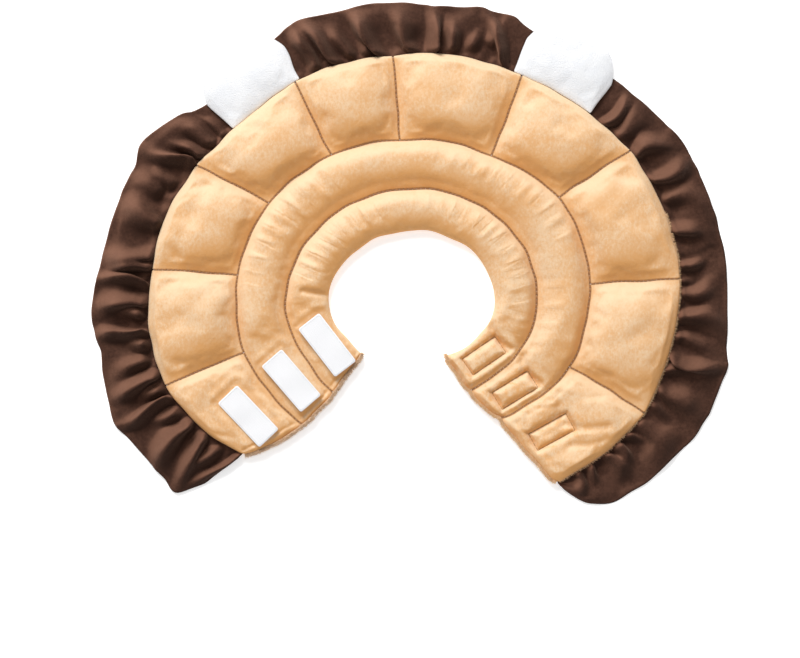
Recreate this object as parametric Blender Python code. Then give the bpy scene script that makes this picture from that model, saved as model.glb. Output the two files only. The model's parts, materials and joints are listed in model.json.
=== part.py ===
"""Soft recovery collar for a cat or small dog, lying open and flat with its top side up.

A quilted plush ring, open on one side: a neck band, a middle band and an outer ring of ten
stuffed panels. A gathered ruffle and two ears are sewn into its outer seam. Three hook patches
lie on top of the left end and three loop patches under the right end, and they close it round
the neck. Metres, +Z up, and the origin is under the middle of the whole collar.
"""

import math
from collections import namedtuple

import bmesh
import bpy
import numpy as np
from mathutils import Vector

# The ring, from its centre outwards
NECK_RADIUS = 0.0585
NECK_BAND_WIDTH = 0.0345
MIDDLE_BAND_WIDTH = 0.0398
PANEL_WIDTH = 0.0645
RUFFLE_DEPTH = 0.0390

# Padding
BAND_CROWN = 0.0165
PANEL_CROWN = 0.0185
SEAM_LIFT = 0.0022
SEAM_THICKNESS = 0.0036
RIM_THICKNESS = 0.0062
END_ROLL = 0.0130
RIB_DEPTH = 0.0014
SEAM_GAP = 0.0004

# Ruffle
RUFFLE_THICKNESS = 0.0016
FOLD_HEIGHT = 0.0095

# Ears
EAR_WIDTH = 0.0735
EAR_REACH = 0.0500
EAR_THICKNESS = 0.0075
EAR_SEAM_THICKNESS = 0.0026
EAR_RIM_THICKNESS = 0.0022
EAR_TIP_LIFT = 0.0026

# Hook and loop patches
HOOK_LENGTH = 0.0455
HOOK_WIDTH = 0.0200
LOOP_LENGTH = 0.0360
LOOP_WIDTH = 0.0180
TAPE_THICKNESS = 0.0014
TAPE_CORNER = 0.0015
HOOK_SEAT_HEIGHT = 0.0095
TAB_THICKNESS = 0.0052
PRESS_MARGIN = 0.0090
PRESS_SLOPE = 0.55

# Colours as linear RGB
TAN_PLUSH = (0.855, 0.525, 0.255)
BROWN_VELVET = (0.072, 0.036, 0.024)
WHITE_PLUSH = (0.93, 0.93, 0.94)
WHITE_TAPE = (0.88, 0.88, 0.89)
TAN_TAPE = (0.78, 0.52, 0.29)

# The ring's stations, from the left end round the top to the right end: the two ends, the nine
# cross seams, and the middle of each panel between them. outer, middle, inner and edge are the
# angles in degrees, anticlockwise from +X, at which the station crosses the outer edge, the
# middle seam, the neck seam and the neck edge. The last four columns are shares of NECK_RADIUS,
# NECK_BAND_WIDTH, MIDDLE_BAND_WIDTH and PANEL_WIDTH.
Station = namedtuple("Station", "outer middle inner edge neck neck_band middle_band panel")
STATIONS = [
    Station(222.0, 227.6, 227.9, 224.0, 0.91, 1.07, 0.82, 0.72),
    Station(210.0, 211.8, 211.5, 209.8, 0.94, 1.01, 0.92, 0.90),
    Station(198.0, 195.6, 195.6, 195.6, 1.02, 0.98, 0.98, 0.98),
    Station(185.1, 183.0, 183.0, 183.0, 1.08, 0.97, 0.92, 1.03),
    Station(172.2, 170.3, 170.3, 170.3, 1.10, 0.91, 0.97, 0.99),
    Station(159.8, 157.6, 157.6, 157.6, 1.07, 0.93, 0.98, 1.00),
    Station(147.4, 144.9, 144.9, 144.9, 1.03, 0.95, 1.01, 0.93),
    Station(132.7, 131.9, 131.9, 131.9, 1.00, 0.94, 1.00, 0.89),
    Station(118.0, 118.9, 118.9, 118.9, 0.98, 0.92, 0.99, 0.95),
    Station(106.4, 106.9, 106.9, 106.9, 0.95, 0.95, 0.96, 0.97),
    Station(94.8, 94.8, 94.8, 94.8, 0.95, 0.93, 0.93, 0.98),
    Station(79.9, 78.8, 78.8, 78.8, 0.96, 0.92, 0.94, 1.01),
    Station(64.9, 62.7, 62.7, 62.7, 0.97, 0.93, 0.94, 0.99),
    Station(50.3, 49.7, 49.7, 49.7, 1.00, 0.93, 1.01, 0.98),
    Station(35.6, 36.6, 36.6, 36.6, 1.02, 0.94, 1.09, 0.98),
    Station(20.7, 21.7, 21.7, 21.7, 1.03, 0.96, 1.05, 1.02),
    Station(5.7, 6.8, 6.8, 6.8, 1.03, 0.95, 1.01, 1.04),
    Station(-9.7, -7.5, -7.5, -7.5, 1.01, 0.92, 0.97, 1.02),
    Station(-25.1, -21.8, -21.8, -21.8, 0.94, 0.94, 0.97, 1.00),
    Station(-38.3, -37.6, -39.9, -40.9, 0.84, 0.91, 0.89, 1.00),
    Station(-51.6, -53.5, -57.9, -58.8, 0.76, 0.95, 0.75, 0.98),
]
LAST_STATION = len(STATIONS) - 1
STATIONS_PER_PANEL = 2
PANEL_COUNT = LAST_STATION // STATIONS_PER_PANEL

# Where the rings of corners lie across a band and across a panel, as shares of the width
BAND_ROWS = (0.0, 0.12, 0.36, 0.64, 0.88, 1.0)
PANEL_ROWS = (0.0, 0.10, 0.30, 0.50, 0.70, 0.90, 1.0)
BAND_COLUMNS = 90

# Where the bands pucker into short ribs: angles at which a stretch starts and ends, how strong
# it is, and how much of it reaches each long side of the band (inner, outer).
Puckers = namedtuple("Puckers", "start end strength inner outer")
NECK_PUCKERS = [
    Puckers(178.0, 122.0, 1.0, 0.5, 1.0),
    Puckers(60.0, 12.0, 0.9, 0.6, 1.0),
]
MIDDLE_PUCKERS = [
    Puckers(170.0, 126.0, 1.0, 0.7, 1.0),
    Puckers(72.0, 28.0, 1.0, 0.3, 1.0),
    Puckers(12.0, -14.0, 0.5, 0.8, 0.4),
]

# The ruffle's folds from left to right. edge and seam are the angles of the ridge on the outer
# edge and at the seam, reach is a share of RUFFLE_DEPTH and height a share of FOLD_HEIGHT.
# It lies flat, with a height of 0, behind the ears.
Fold = namedtuple("Fold", "edge seam reach height")
FOLDS = [
    Fold(220.2, 221.2, 0.90, 0.15),
    Fold(218.2, 218.6, 1.36, 0.40),
    Fold(214.6, 214.2, 1.27, 0.55),
    Fold(211.0, 209.0, 1.22, 0.85),
    Fold(206.0, 204.8, 1.20, 0.60),
    Fold(201.9, 200.5, 1.25, 1.00),
    Fold(197.6, 196.0, 1.15, 0.75),
    Fold(192.6, 192.2, 1.06, 0.50),
    Fold(188.8, 189.2, 0.98, 0.55),
    Fold(185.2, 186.0, 1.07, 1.00),
    Fold(180.8, 181.2, 1.09, 0.60),
    Fold(175.3, 176.2, 1.05, 1.00),
    Fold(169.9, 170.0, 0.99, 0.65),
    Fold(161.8, 162.7, 0.96, 0.80),
    Fold(154.6, 154.6, 0.97, 0.45),
    Fold(149.3, 148.0, 1.12, 1.00),
    Fold(144.8, 144.6, 1.04, 0.55),
    Fold(140.6, 140.9, 0.92, 0.55),
    Fold(137.2, 137.2, 0.85, 0.0),
    Fold(127.0, 127.0, 0.92, 0.0),
    Fold(117.0, 117.0, 1.00, 0.0),
    Fold(112.1, 109.6, 1.07, 1.00),
    Fold(106.8, 103.8, 1.00, 0.55),
    Fold(102.0, 98.4, 1.02, 0.85),
    Fold(97.3, 94.0, 1.04, 0.45),
    Fold(93.0, 90.2, 1.02, 0.65),
    Fold(87.4, 86.0, 0.93, 0.95),
    Fold(82.0, 81.4, 0.93, 0.65),
    Fold(76.4, 73.6, 1.00, 0.90),
    Fold(71.0, 69.6, 1.03, 0.45),
    Fold(67.4, 66.8, 0.92, 0.0),
    Fold(57.0, 57.0, 0.85, 0.0),
    Fold(48.4, 48.4, 0.83, 0.0),
    Fold(44.0, 43.4, 0.83, 0.80),
    Fold(39.0, 39.4, 0.86, 0.60),
    Fold(32.4, 33.8, 0.94, 0.90),
    Fold(27.2, 28.4, 0.95, 0.90),
    Fold(22.0, 22.6, 0.91, 0.55),
    Fold(13.8, 15.8, 0.91, 0.90),
    Fold(7.8, 9.0, 0.93, 0.80),
    Fold(3.2, 3.6, 0.92, 0.55),
    Fold(-3.0, -2.4, 1.00, 0.85),
    Fold(-7.2, -6.8, 1.07, 0.45),
    Fold(-11.2, -10.8, 1.17, 1.00),
    Fold(-15.0, -14.8, 1.14, 0.60),
    Fold(-19.6, -19.2, 1.13, 0.80),
    Fold(-24.6, -24.4, 1.09, 0.50),
    Fold(-30.4, -29.8, 1.01, 0.65),
    Fold(-36.2, -35.0, 0.99, 0.50),
    Fold(-41.8, -40.2, 0.94, 0.60),
    Fold(-45.8, -45.0, 0.86, 0.40),
    Fold(-49.0, -49.2, 0.62, 0.25),
    Fold(-51.1, -51.3, 0.22, 0.10),
]
FOLD_COLUMNS = 4
# Rings of corners from the seam to the hem, and how much of a fold's height each has
RUFFLE_ROWS = (0.0, 0.28, 0.64, 1.0)
RUFFLE_RISE = (0.06, 0.62, 1.0, 0.86)

# The ears' ends on the outer seam
Ear = namedtuple("Ear", "name start end")
EARS = [
    Ear("left_ear", 135.8, 116.6),
    Ear("right_ear", 66.9, 47.3),
]
EAR_SHOULDER = 0.57
EAR_ROUNDNESS = 2.5
EAR_COLUMNS = (-1.0, -0.82, -0.5, -0.17, 0.17, 0.5, 0.82, 1.0)
EAR_ROWS = (0.0, 0.14, 0.42, 0.70, 0.90, 1.0)

# The patches: the end that they belong to, the band (0 neck, 1 middle, 2 panels), the station
# and the share of the band's width at their middle, and how far they are turned, in degrees,
# from square to that end's edge.
Tape = namedtuple("Tape", "name end band station share turn")
HOOKS = [
    Tape("neck_hook_patch", 0, 0, 1.38, 0.44, -3.4),
    Tape("middle_hook_patch", 0, 1, 1.00, 0.50, -0.4),
    Tape("outer_hook_patch", 0, 2, 0.80, 0.43, 2.4),
]
LOOPS = [
    Tape("neck_loop_patch", LAST_STATION, 0, 18.76, 0.47, -7.3),
    Tape("middle_loop_patch", LAST_STATION, 1, 19.09, 0.55, -10.3),
    Tape("outer_loop_patch", LAST_STATION, 2, 19.32, 0.44, -13.0),
]


def smooth(share):
    """A smooth step from 0 to 1 as share goes from 0 to 1."""
    share = min(max(share, 0.0), 1.0)
    return share * share * (3.0 - 2.0 * share)


def mix(low, high, share):
    return low + (high - low) * share


def through(values, place):
    """A smooth curve through a column of a table, read at a fractional row number."""
    last = len(values) - 1
    row = int(min(max(math.floor(place), 0), last - 1))
    share = place - row
    here, after = values[row], values[row + 1]
    before = values[row - 1] if row > 0 else 2.0 * here - after
    beyond = values[row + 2] if row < last - 1 else 2.0 * after - here
    lead, trail = (after - before) / 2.0, (beyond - here) / 2.0
    square, cube = share * share, share**3
    return (
        (2.0 * cube - 3.0 * square + 1.0) * here
        + (cube - 2.0 * square + share) * lead
        + (3.0 * square - 2.0 * cube) * after
        + (cube - square) * trail
    )


def column(table, name):
    return [getattr(row, name) for row in table]


def seam_radii(station):
    """Radii of the neck edge, the neck seam, the middle seam and the outer edge at a station."""
    neck = NECK_RADIUS * through(column(STATIONS, "neck"), station)
    inner = neck + NECK_BAND_WIDTH * through(column(STATIONS, "neck_band"), station)
    middle = inner + MIDDLE_BAND_WIDTH * through(column(STATIONS, "middle_band"), station)
    outer = middle + PANEL_WIDTH * through(column(STATIONS, "panel"), station)
    return neck, inner, middle, outer


def seam_angles(station):
    names = ("edge", "inner", "middle", "outer")
    return [math.radians(through(column(STATIONS, name), station)) for name in names]


def polar(angle, radius):
    return Vector((radius * math.cos(angle), radius * math.sin(angle), 0.0))


def on_ring(station, band, share, inset=0.0):
    """The point on the ring at a station and at a share of a band's width.

    inset is the clearance kept to both long sides of the band.
    """
    radii, angles = seam_radii(station), seam_angles(station)
    radius = mix(radii[band] + inset, radii[band + 1] - inset, share)
    return polar(mix(angles[band], angles[band + 1], share), radius)


# The outer edge as a smooth line of angle and radius, which the ruffle and the ears follow
EDGE_STATIONS = np.linspace(0.0, LAST_STATION, 20 * LAST_STATION + 1)
EDGE_ANGLES = [math.degrees(seam_angles(station)[3]) for station in EDGE_STATIONS]
EDGE_RADII = [seam_radii(station)[3] for station in EDGE_STATIONS]


def outer_radius(degrees):
    return float(np.interp(-degrees, [-angle for angle in EDGE_ANGLES], EDGE_RADII))


def puff(share):
    """Fullness across a stuffed strip: 0 at its two seams and 1 in the middle."""
    return (1.0 - abs(2.0 * share - 1.0) ** 2.8) ** 0.6


class TapeFrame:
    """Where a patch lies: its middle, and the direction that it runs in, away from its end."""

    def __init__(self, tape, length, width):
        self.length, self.width = length, width
        neck_corner = on_ring(tape.end, 0, 0.0)
        outer_corner = on_ring(tape.end, 2, 1.0)
        chord = outer_corner - neck_corner
        square = math.atan2(chord.y, chord.x) + math.radians(-90.0 if tape.end == 0 else 90.0)
        self.turn = square + math.radians(tape.turn)
        self.middle = on_ring(tape.station, tape.band, tape.share)

    def outside(self, point, margin):
        """How far a point lies beyond the patch, inwards from the end or to either side."""
        offset = point - self.middle
        along = offset.x * math.cos(self.turn) + offset.y * math.sin(self.turn)
        across = offset.y * math.cos(self.turn) - offset.x * math.sin(self.turn)
        beyond = max(along - self.length / 2.0, abs(across) - self.width / 2.0)
        return max(beyond - margin, 0.0)


HOOK_FRAMES = {tape.band: TapeFrame(tape, HOOK_LENGTH, HOOK_WIDTH) for tape in HOOKS}
LOOP_FRAMES = {tape.band: TapeFrame(tape, LOOP_LENGTH, LOOP_WIDTH) for tape in LOOPS}
LOOP_SEAT_HEIGHT = TAPE_THICKNESS + SEAM_GAP
TOP_STATION = LAST_STATION / 2


def pad_heights(point, band, share, station, fullness, rib):
    """Heights of a pad's underside and top at a point.

    The stuffing presses flat on the floor, the seams are drawn together above it, a hook patch
    presses the top down, and the underside is raised over a loop patch.
    """
    seam_thickness = SEAM_THICKNESS
    if band == 2:
        seam_thickness = mix(SEAM_THICKNESS, RIM_THICKNESS, smooth(share))
    seam_top = SEAM_LIFT + seam_thickness
    crown = PANEL_CROWN if band == 2 else BAND_CROWN
    low = SEAM_LIFT * max(0.0, 1.0 - fullness / 0.6)
    high = mix(seam_top, crown, fullness) + rib
    if station < TOP_STATION:
        beyond = HOOK_FRAMES[band].outside(point, PRESS_MARGIN)
        high = min(high, HOOK_SEAT_HEIGHT + PRESS_SLOPE * beyond)
    else:
        beyond = LOOP_FRAMES[band].outside(point, 0.0)
        high = min(high, LOOP_SEAT_HEIGHT + TAB_THICKNESS + PRESS_SLOPE * beyond)
        beyond = LOOP_FRAMES[band].outside(point, PRESS_MARGIN)
        low = max(low, LOOP_SEAT_HEIGHT * (1.0 - smooth(beyond / PRESS_MARGIN)))
    return low, high


def slab(name, columns, rows, place, material):
    """A closed soft body: a grid of columns by rows, thickened, its corners set by place.

    place(column, row, upper) gives the corner's point on the top or on the underside.
    """
    mesh_data = bmesh.new()
    bmesh.ops.create_grid(mesh_data, x_segments=columns, y_segments=rows, size=0.5)
    thickened = bmesh.ops.extrude_face_region(
        mesh_data, geom=mesh_data.faces[:], use_keep_orig=True
    )
    upper = {corner for corner in thickened["geom"] if isinstance(corner, bmesh.types.BMVert)}
    for corner in mesh_data.verts:
        across = round((corner.co.x + 0.5) * columns)
        along = round((corner.co.y + 0.5) * rows)
        corner.co = place(across, along, corner in upper)
    bmesh.ops.recalc_face_normals(mesh_data, faces=mesh_data.faces[:])
    bmesh.ops.triangulate(mesh_data, faces=mesh_data.faces[:], quad_method="SHORT_EDGE")
    mesh = bpy.data.meshes.new(name)
    mesh_data.to_mesh(mesh)
    mesh_data.free()
    mesh.shade_smooth()
    mesh.set_sharp_from_angle(angle=math.radians(50.0))
    mesh.materials.append(material)
    body = bpy.data.objects.new(name, mesh)
    bpy.context.scene.collection.objects.link(body)
    return body


def fabric(name, colour, roughness):
    material = bpy.data.materials.new(name)
    material.use_nodes = True
    shader = material.node_tree.nodes["Principled BSDF"]
    shader.inputs["Base Color"].default_value = (*colour, 1.0)
    shader.inputs["Roughness"].default_value = roughness
    shader.inputs["Metallic"].default_value = 0.0
    return material


def rib_at(puckers, index, degrees, share):
    """How far a pucker lifts or lowers the top of a band at one ring of corners."""
    for span in puckers:
        if span.end <= degrees <= span.start:
            side = mix(span.inner, span.outer, share)
            return RIB_DEPTH * span.strength * side * (-1.0) ** index
    return 0.0


def band_body(name, band, puckers, material):
    """The neck band or the middle band, stuffed from end to end."""
    length = sum(
        (on_ring(step, band, 0.5) - on_ring(step + 1, band, 0.5)).length
        for step in range(LAST_STATION)
    )

    def place(index, row, upper):
        station = LAST_STATION * index / BAND_COLUMNS
        share = BAND_ROWS[row]
        point = on_ring(station, band, share, SEAM_GAP / 2.0)
        from_end = min(index, BAND_COLUMNS - index) / BAND_COLUMNS * length
        fullness = puff(share) * puff(min(from_end / END_ROLL, 1.0) / 2.0)
        degrees = math.degrees(math.atan2(point.y, point.x)) % 360.0
        degrees = degrees - 360.0 if degrees > 270.0 else degrees
        rib = rib_at(puckers, index, degrees, share) * puff(share)
        low, high = pad_heights(point, band, share, station, fullness, rib)
        point.z = high if upper else low
        return point

    return slab(name, BAND_COLUMNS, len(BAND_ROWS) - 1, place, material)


def panel_body(number, material):
    """One stuffed panel of the outer ring, between two cross seams."""
    first = STATIONS_PER_PANEL * number

    def place(index, row, upper):
        along, share = PANEL_ROWS[index], PANEL_ROWS[row]
        station = first + STATIONS_PER_PANEL * along
        point = on_ring(station, 2, share, SEAM_GAP / 2.0)
        aside = SEAM_GAP / 2.0 / point.length * (1.0 - 2.0 * along)
        point = polar(math.atan2(point.y, point.x) - aside, point.length)
        fullness = puff(share) * puff(along)
        low, high = pad_heights(point, 2, share, station, fullness, 0.0)
        point.z = high if upper else low
        return point

    cells = len(PANEL_ROWS) - 1
    return slab(f"panel_{number + 1:02d}", cells, cells, place, material)


def ruffle_body(material):
    """The gathered strip: a fold in each row of the table, drawn together at the outer seam."""
    columns = FOLD_COLUMNS * (len(FOLDS) - 1)

    def place(index, row, upper):
        where = index / FOLD_COLUMNS
        out = RUFFLE_ROWS[row]
        seam = through(column(FOLDS, "seam"), where)
        edge = through(column(FOLDS, "edge"), where)
        reach = RUFFLE_DEPTH * through(column(FOLDS, "reach"), where)
        nearest = round(where + 1e-6)
        crest = 0.5 + 0.5 * math.cos(2.0 * math.pi * (where - nearest))
        height = FOLD_HEIGHT * FOLDS[nearest].height * crest * RUFFLE_RISE[row]
        radius = mix(outer_radius(seam) + SEAM_GAP, outer_radius(edge) + reach, out)
        point = polar(math.radians(mix(seam, edge, out)), radius)
        point.z = SEAM_LIFT * (1.0 - smooth(out / 0.6)) + height
        if upper:
            point.z += RUFFLE_THICKNESS
        return point

    return slab("ruffle", columns, len(RUFFLE_ROWS) - 1, place, material)


def ear_body(ear, material):
    """A flat padded ear: straight sides that widen to its shoulders, and a round top."""
    first, last = (polar(math.radians(a), outer_radius(a)) for a in (ear.start, ear.end))
    side = (last - first).normalized()
    out = Vector((-side.y, side.x, 0.0))
    widening = (EAR_WIDTH - (last - first).length) / 2.0
    seam_height = SEAM_LIFT + RUFFLE_THICKNESS + SEAM_GAP

    def place(index, row, upper):
        across, outward = EAR_COLUMNS[index], EAR_ROWS[row]
        degrees = mix(ear.start, ear.end, (across + 1.0) / 2.0)
        point = polar(math.radians(degrees), outer_radius(degrees) + SEAM_GAP)
        dome = (1.0 - abs(across) ** EAR_ROUNDNESS) ** (1.0 / EAR_ROUNDNESS)
        reach = EAR_REACH * outward * mix(EAR_SHOULDER, 1.0, dome)
        point += out * reach + side * widening * across * smooth(outward)
        rim = mix(EAR_SEAM_THICKNESS, EAR_RIM_THICKNESS, outward)
        fullness = puff((across + 1.0) / 2.0) * puff(outward)
        point.z = mix(seam_height, EAR_TIP_LIFT, outward)
        if upper:
            point.z += mix(rim, EAR_THICKNESS, fullness)
        return point

    return slab(ear.name, len(EAR_COLUMNS) - 1, len(EAR_ROWS) - 1, place, material)


def tape_body(tape, frame, low, material):
    """A flat patch with clipped corners, laid at a height and turned to its place."""
    mesh_data = bmesh.new()
    bmesh.ops.create_cube(mesh_data, size=1.0)
    size = (frame.length, frame.width, TAPE_THICKNESS)
    bmesh.ops.scale(mesh_data, vec=size, verts=mesh_data.verts[:])
    upright = [
        edge
        for edge in mesh_data.edges
        if abs(edge.verts[0].co.z - edge.verts[1].co.z) > TAPE_THICKNESS / 2.0
    ]
    bmesh.ops.bevel(
        mesh_data, geom=upright, offset=TAPE_CORNER, segments=2, profile=0.5, affect="EDGES"
    )
    mesh = bpy.data.meshes.new(tape.name)
    mesh_data.to_mesh(mesh)
    mesh_data.free()
    mesh.materials.append(material)
    body = bpy.data.objects.new(tape.name, mesh)
    body.location = frame.middle + Vector((0.0, 0.0, low + TAPE_THICKNESS / 2.0))
    body.rotation_euler = (0.0, 0.0, frame.turn)
    bpy.context.scene.collection.objects.link(body)
    return body


def centre_on_origin(bodies):
    """Moves the finished collar so that the origin lies under the middle of its box."""
    bpy.context.view_layer.update()
    corners = np.array(
        [body.matrix_world @ corner.co for body in bodies for corner in body.data.vertices]
    )
    middle = (corners.min(axis=0) + corners.max(axis=0)) / 2.0
    for body in bodies:
        body.location -= Vector((middle[0], middle[1], corners[:, 2].min()))


def build():
    for old in list(bpy.data.objects):
        bpy.data.objects.remove(old, do_unlink=True)
    tan_plush = fabric("tan_plush", TAN_PLUSH, 0.9)
    brown_velvet = fabric("brown_velvet", BROWN_VELVET, 0.85)
    white_plush = fabric("white_plush", WHITE_PLUSH, 0.95)
    hook_tape = fabric("hook_tape", WHITE_TAPE, 0.7)
    loop_tape = fabric("loop_tape", TAN_TAPE, 0.85)

    bodies = [
        band_body("neck_band", 0, NECK_PUCKERS, tan_plush),
        band_body("middle_band", 1, MIDDLE_PUCKERS, tan_plush),
    ]
    bodies += [panel_body(number, tan_plush) for number in range(PANEL_COUNT)]
    bodies.append(ruffle_body(brown_velvet))
    bodies += [ear_body(ear, white_plush) for ear in EARS]
    for tape in HOOKS:
        frame = HOOK_FRAMES[tape.band]
        bodies.append(tape_body(tape, frame, HOOK_SEAT_HEIGHT + SEAM_GAP, hook_tape))
    for tape in LOOPS:
        bodies.append(tape_body(tape, LOOP_FRAMES[tape.band], 0.0, loop_tape))
    centre_on_origin(bodies)


build()
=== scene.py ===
"""The looks of a soft quilted recovery collar, lying open and flat, seen from straight above."""

import json
import math

import bmesh
import bpy
import numpy as np
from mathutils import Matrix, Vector, bvhtree, kdtree

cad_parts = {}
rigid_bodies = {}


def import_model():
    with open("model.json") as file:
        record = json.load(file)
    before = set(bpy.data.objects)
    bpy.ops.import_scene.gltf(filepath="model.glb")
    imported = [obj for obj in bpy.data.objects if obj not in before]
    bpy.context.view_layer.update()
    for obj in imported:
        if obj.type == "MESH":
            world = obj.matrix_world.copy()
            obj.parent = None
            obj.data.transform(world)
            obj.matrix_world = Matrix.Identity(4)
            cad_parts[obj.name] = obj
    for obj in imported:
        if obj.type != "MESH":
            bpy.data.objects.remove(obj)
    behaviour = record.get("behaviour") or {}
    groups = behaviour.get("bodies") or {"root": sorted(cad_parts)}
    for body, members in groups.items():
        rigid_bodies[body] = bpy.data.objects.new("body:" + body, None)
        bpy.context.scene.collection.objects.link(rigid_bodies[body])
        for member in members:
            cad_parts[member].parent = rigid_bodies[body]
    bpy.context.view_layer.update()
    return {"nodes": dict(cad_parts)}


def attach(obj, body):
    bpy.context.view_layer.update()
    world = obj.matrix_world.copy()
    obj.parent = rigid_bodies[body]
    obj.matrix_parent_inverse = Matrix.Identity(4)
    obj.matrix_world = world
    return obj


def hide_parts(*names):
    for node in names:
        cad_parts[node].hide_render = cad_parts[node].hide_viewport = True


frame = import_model()


# Studio: a pale sheet to lie on, one broad soft light from the side that the collar's top
# points to, a weaker one opposite, and a camera straight above. The photograph covers
# 0.6 m by 0.49 m of the sheet.
PHOTO_WIDTH = 0.600
CAMERA_HEIGHT = 2.4
CAMERA_X, CAMERA_Y = -0.0076, -0.0569
SHEET_SIZE = 9.0
SENSOR = 36.0
PILE_LEVEL = 0.010
PAPER, PAPER_GLOW = (0.95, 0.95, 0.95), 0.42
ROOM_LIGHT = 0.45
# Name, place in metres, width in metres and power in watts of each soft box
SOFT_BOXES = [
    ("key", (-1.40, 3.60, 3.05), 2.0, 262.0),
    ("fill", (0.9, -3.4, 4.2), 3.0, 26.0),
]


def plain_material(name, colour, roughness):
    material = bpy.data.materials.new(name)
    material.use_nodes = True
    shader = material.node_tree.nodes["Principled BSDF"]
    shader.inputs["Base Color"].default_value = (*colour, 1.0)
    shader.inputs["Roughness"].default_value = roughness
    return material


bpy.ops.object.select_all(action="DESELECT")
bpy.ops.mesh.primitive_plane_add(size=SHEET_SIZE, location=(0.0, 0.0, 0.0))
sheet = bpy.context.object
sheet.name = "backdrop"
paper = plain_material("backdrop", PAPER, 0.95)
glow = paper.node_tree.nodes["Principled BSDF"].inputs
glow["Emission Color"].default_value = (1.0, 1.0, 1.0, 1.0)
glow["Emission Strength"].default_value = PAPER_GLOW
sheet.data.materials.append(paper)

bpy.ops.object.camera_add(location=(CAMERA_X, CAMERA_Y, CAMERA_HEIGHT))
camera = bpy.context.object
camera.data.sensor_width = SENSOR
camera.data.lens = SENSOR * (CAMERA_HEIGHT - PILE_LEVEL) / PHOTO_WIDTH
bpy.context.scene.camera = camera


def soft_light(name, place, size, power):
    """A square soft box at a place, aimed at the collar."""
    bpy.ops.object.light_add(type="AREA", location=place)
    light = bpy.context.object
    light.name = name
    light.data.size = size
    light.data.energy = power
    light.rotation_mode = "QUATERNION"
    light.rotation_quaternion = (-Vector(place)).to_track_quat("-Z", "Y")


for name, place, size, power in SOFT_BOXES:
    soft_light(name, place, size, power)

world = bpy.data.worlds.new("studio")
world.use_nodes = True
surroundings = world.node_tree.nodes["Background"].inputs
surroundings["Color"].default_value = (1.0, 1.0, 1.0, 1.0)
surroundings["Strength"].default_value = ROOM_LIGHT
bpy.context.scene.world = world
bpy.context.scene.view_settings.view_transform = "Standard"


# Quilted pads: the neck band, the middle band and the ten panels of the outer ring. Each is
# short-pile tan plush over polyester filling, sewn down along its seams, where it puckers.
MM = 0.001
RING_CENTRE = np.array((0.002885, -0.038886))
# The ring's seams, from the left end round the top to the right end: the angle in degrees at
# which each station crosses the neck edge, the neck seam, the middle seam and the outer edge,
# and the radii in millimetres there.
STATIONS = np.array([
    (224.0, 227.9, 227.6, 222.0, 53.24, 90.15, 122.79, 169.23),
    (209.8, 211.5, 211.8, 210.0, 54.99, 89.83, 126.45, 184.50),
    (195.6, 195.6, 195.6, 198.0, 59.67, 93.48, 132.48, 195.69),
    (183.0, 183.0, 183.0, 185.1, 63.18, 96.65, 133.26, 199.70),
    (170.3, 170.3, 170.3, 172.2, 64.35, 95.75, 134.35, 198.21),
    (157.6, 157.6, 157.6, 159.8, 62.60, 94.68, 133.68, 198.18),
    (144.9, 144.9, 144.9, 147.4, 60.26, 93.03, 133.23, 193.21),
    (131.9, 131.9, 131.9, 132.7, 58.50, 90.93, 130.73, 188.14),
    (118.9, 118.9, 118.9, 118.0, 57.33, 89.07, 128.47, 189.75),
    (106.9, 106.9, 106.9, 106.4, 55.58, 88.35, 126.56, 189.12),
    (94.8, 94.8, 94.8, 94.8, 55.58, 87.66, 124.67, 187.88),
    (78.8, 78.8, 78.8, 79.9, 56.16, 87.90, 125.31, 190.46),
    (62.7, 62.7, 62.7, 64.9, 56.75, 88.83, 126.24, 190.10),
    (49.7, 49.7, 49.7, 50.3, 58.50, 90.58, 130.78, 193.99),
    (36.6, 36.6, 36.6, 35.6, 59.67, 92.10, 135.48, 198.69),
    (21.7, 21.7, 21.7, 20.7, 60.26, 93.38, 135.17, 200.95),
    (6.8, 6.8, 6.8, 5.7, 60.26, 93.03, 133.23, 200.31),
    (-7.5, -7.5, -7.5, -9.7, 59.09, 90.83, 129.43, 195.22),
    (-21.8, -21.8, -21.8, -25.1, 54.99, 87.42, 126.03, 190.53),
    (-40.9, -39.9, -37.6, -38.3, 49.14, 80.54, 115.96, 180.46),
    (-58.8, -57.9, -53.5, -51.6, 44.46, 77.23, 107.08, 170.30),
])
NECK_EDGE, NECK_SEAM, MIDDLE_SEAM, OUTER_EDGE = range(4)
# The stations at which a cross seam runs from the middle seam to the outer edge
CROSS_SEAMS = range(2, 20, 2)
LINES_PER_PANEL = 120


def through(rows, places):
    """A smooth curve through the rows of a table, read at fractional row numbers."""
    last = len(rows) - 1
    row = np.clip(np.floor(places).astype(int), 0, last - 1)
    share = (places - row)[:, None]
    here, after = rows[row], rows[row + 1]
    before = np.where(row[:, None] > 0, rows[np.maximum(row - 1, 0)], 2.0 * here - after)
    beyond = np.where(row[:, None] < last - 1, rows[np.minimum(row + 2, last)], 2.0 * after - here)
    lead, trail = (after - before) / 2.0, (beyond - here) / 2.0
    square, cube = share**2, share**3
    return (
        (2.0 * cube - 3.0 * square + 1.0) * here
        + (cube - 2.0 * square + share) * lead
        + (3.0 * square - 2.0 * cube) * after
        + (cube - square) * trail
    )


RING_LINES = through(STATIONS, np.linspace(0.0, len(STATIONS) - 1.0, 10 * LINES_PER_PANEL + 1))


def radius_at(line, degrees):
    """Radius in metres of one of the four ring lines at some angles."""
    return np.interp(-degrees, -RING_LINES[:, line], RING_LINES[:, 4 + line]) * MM


def at(degrees, radius):
    """A point in the collar's frame from an angle and a radius about the ring's centre."""
    turn = np.radians(degrees)
    spot = np.stack((np.cos(turn), np.sin(turn)), axis=-1) * np.asarray(radius)[..., None]
    return spot + RING_CENTRE


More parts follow.
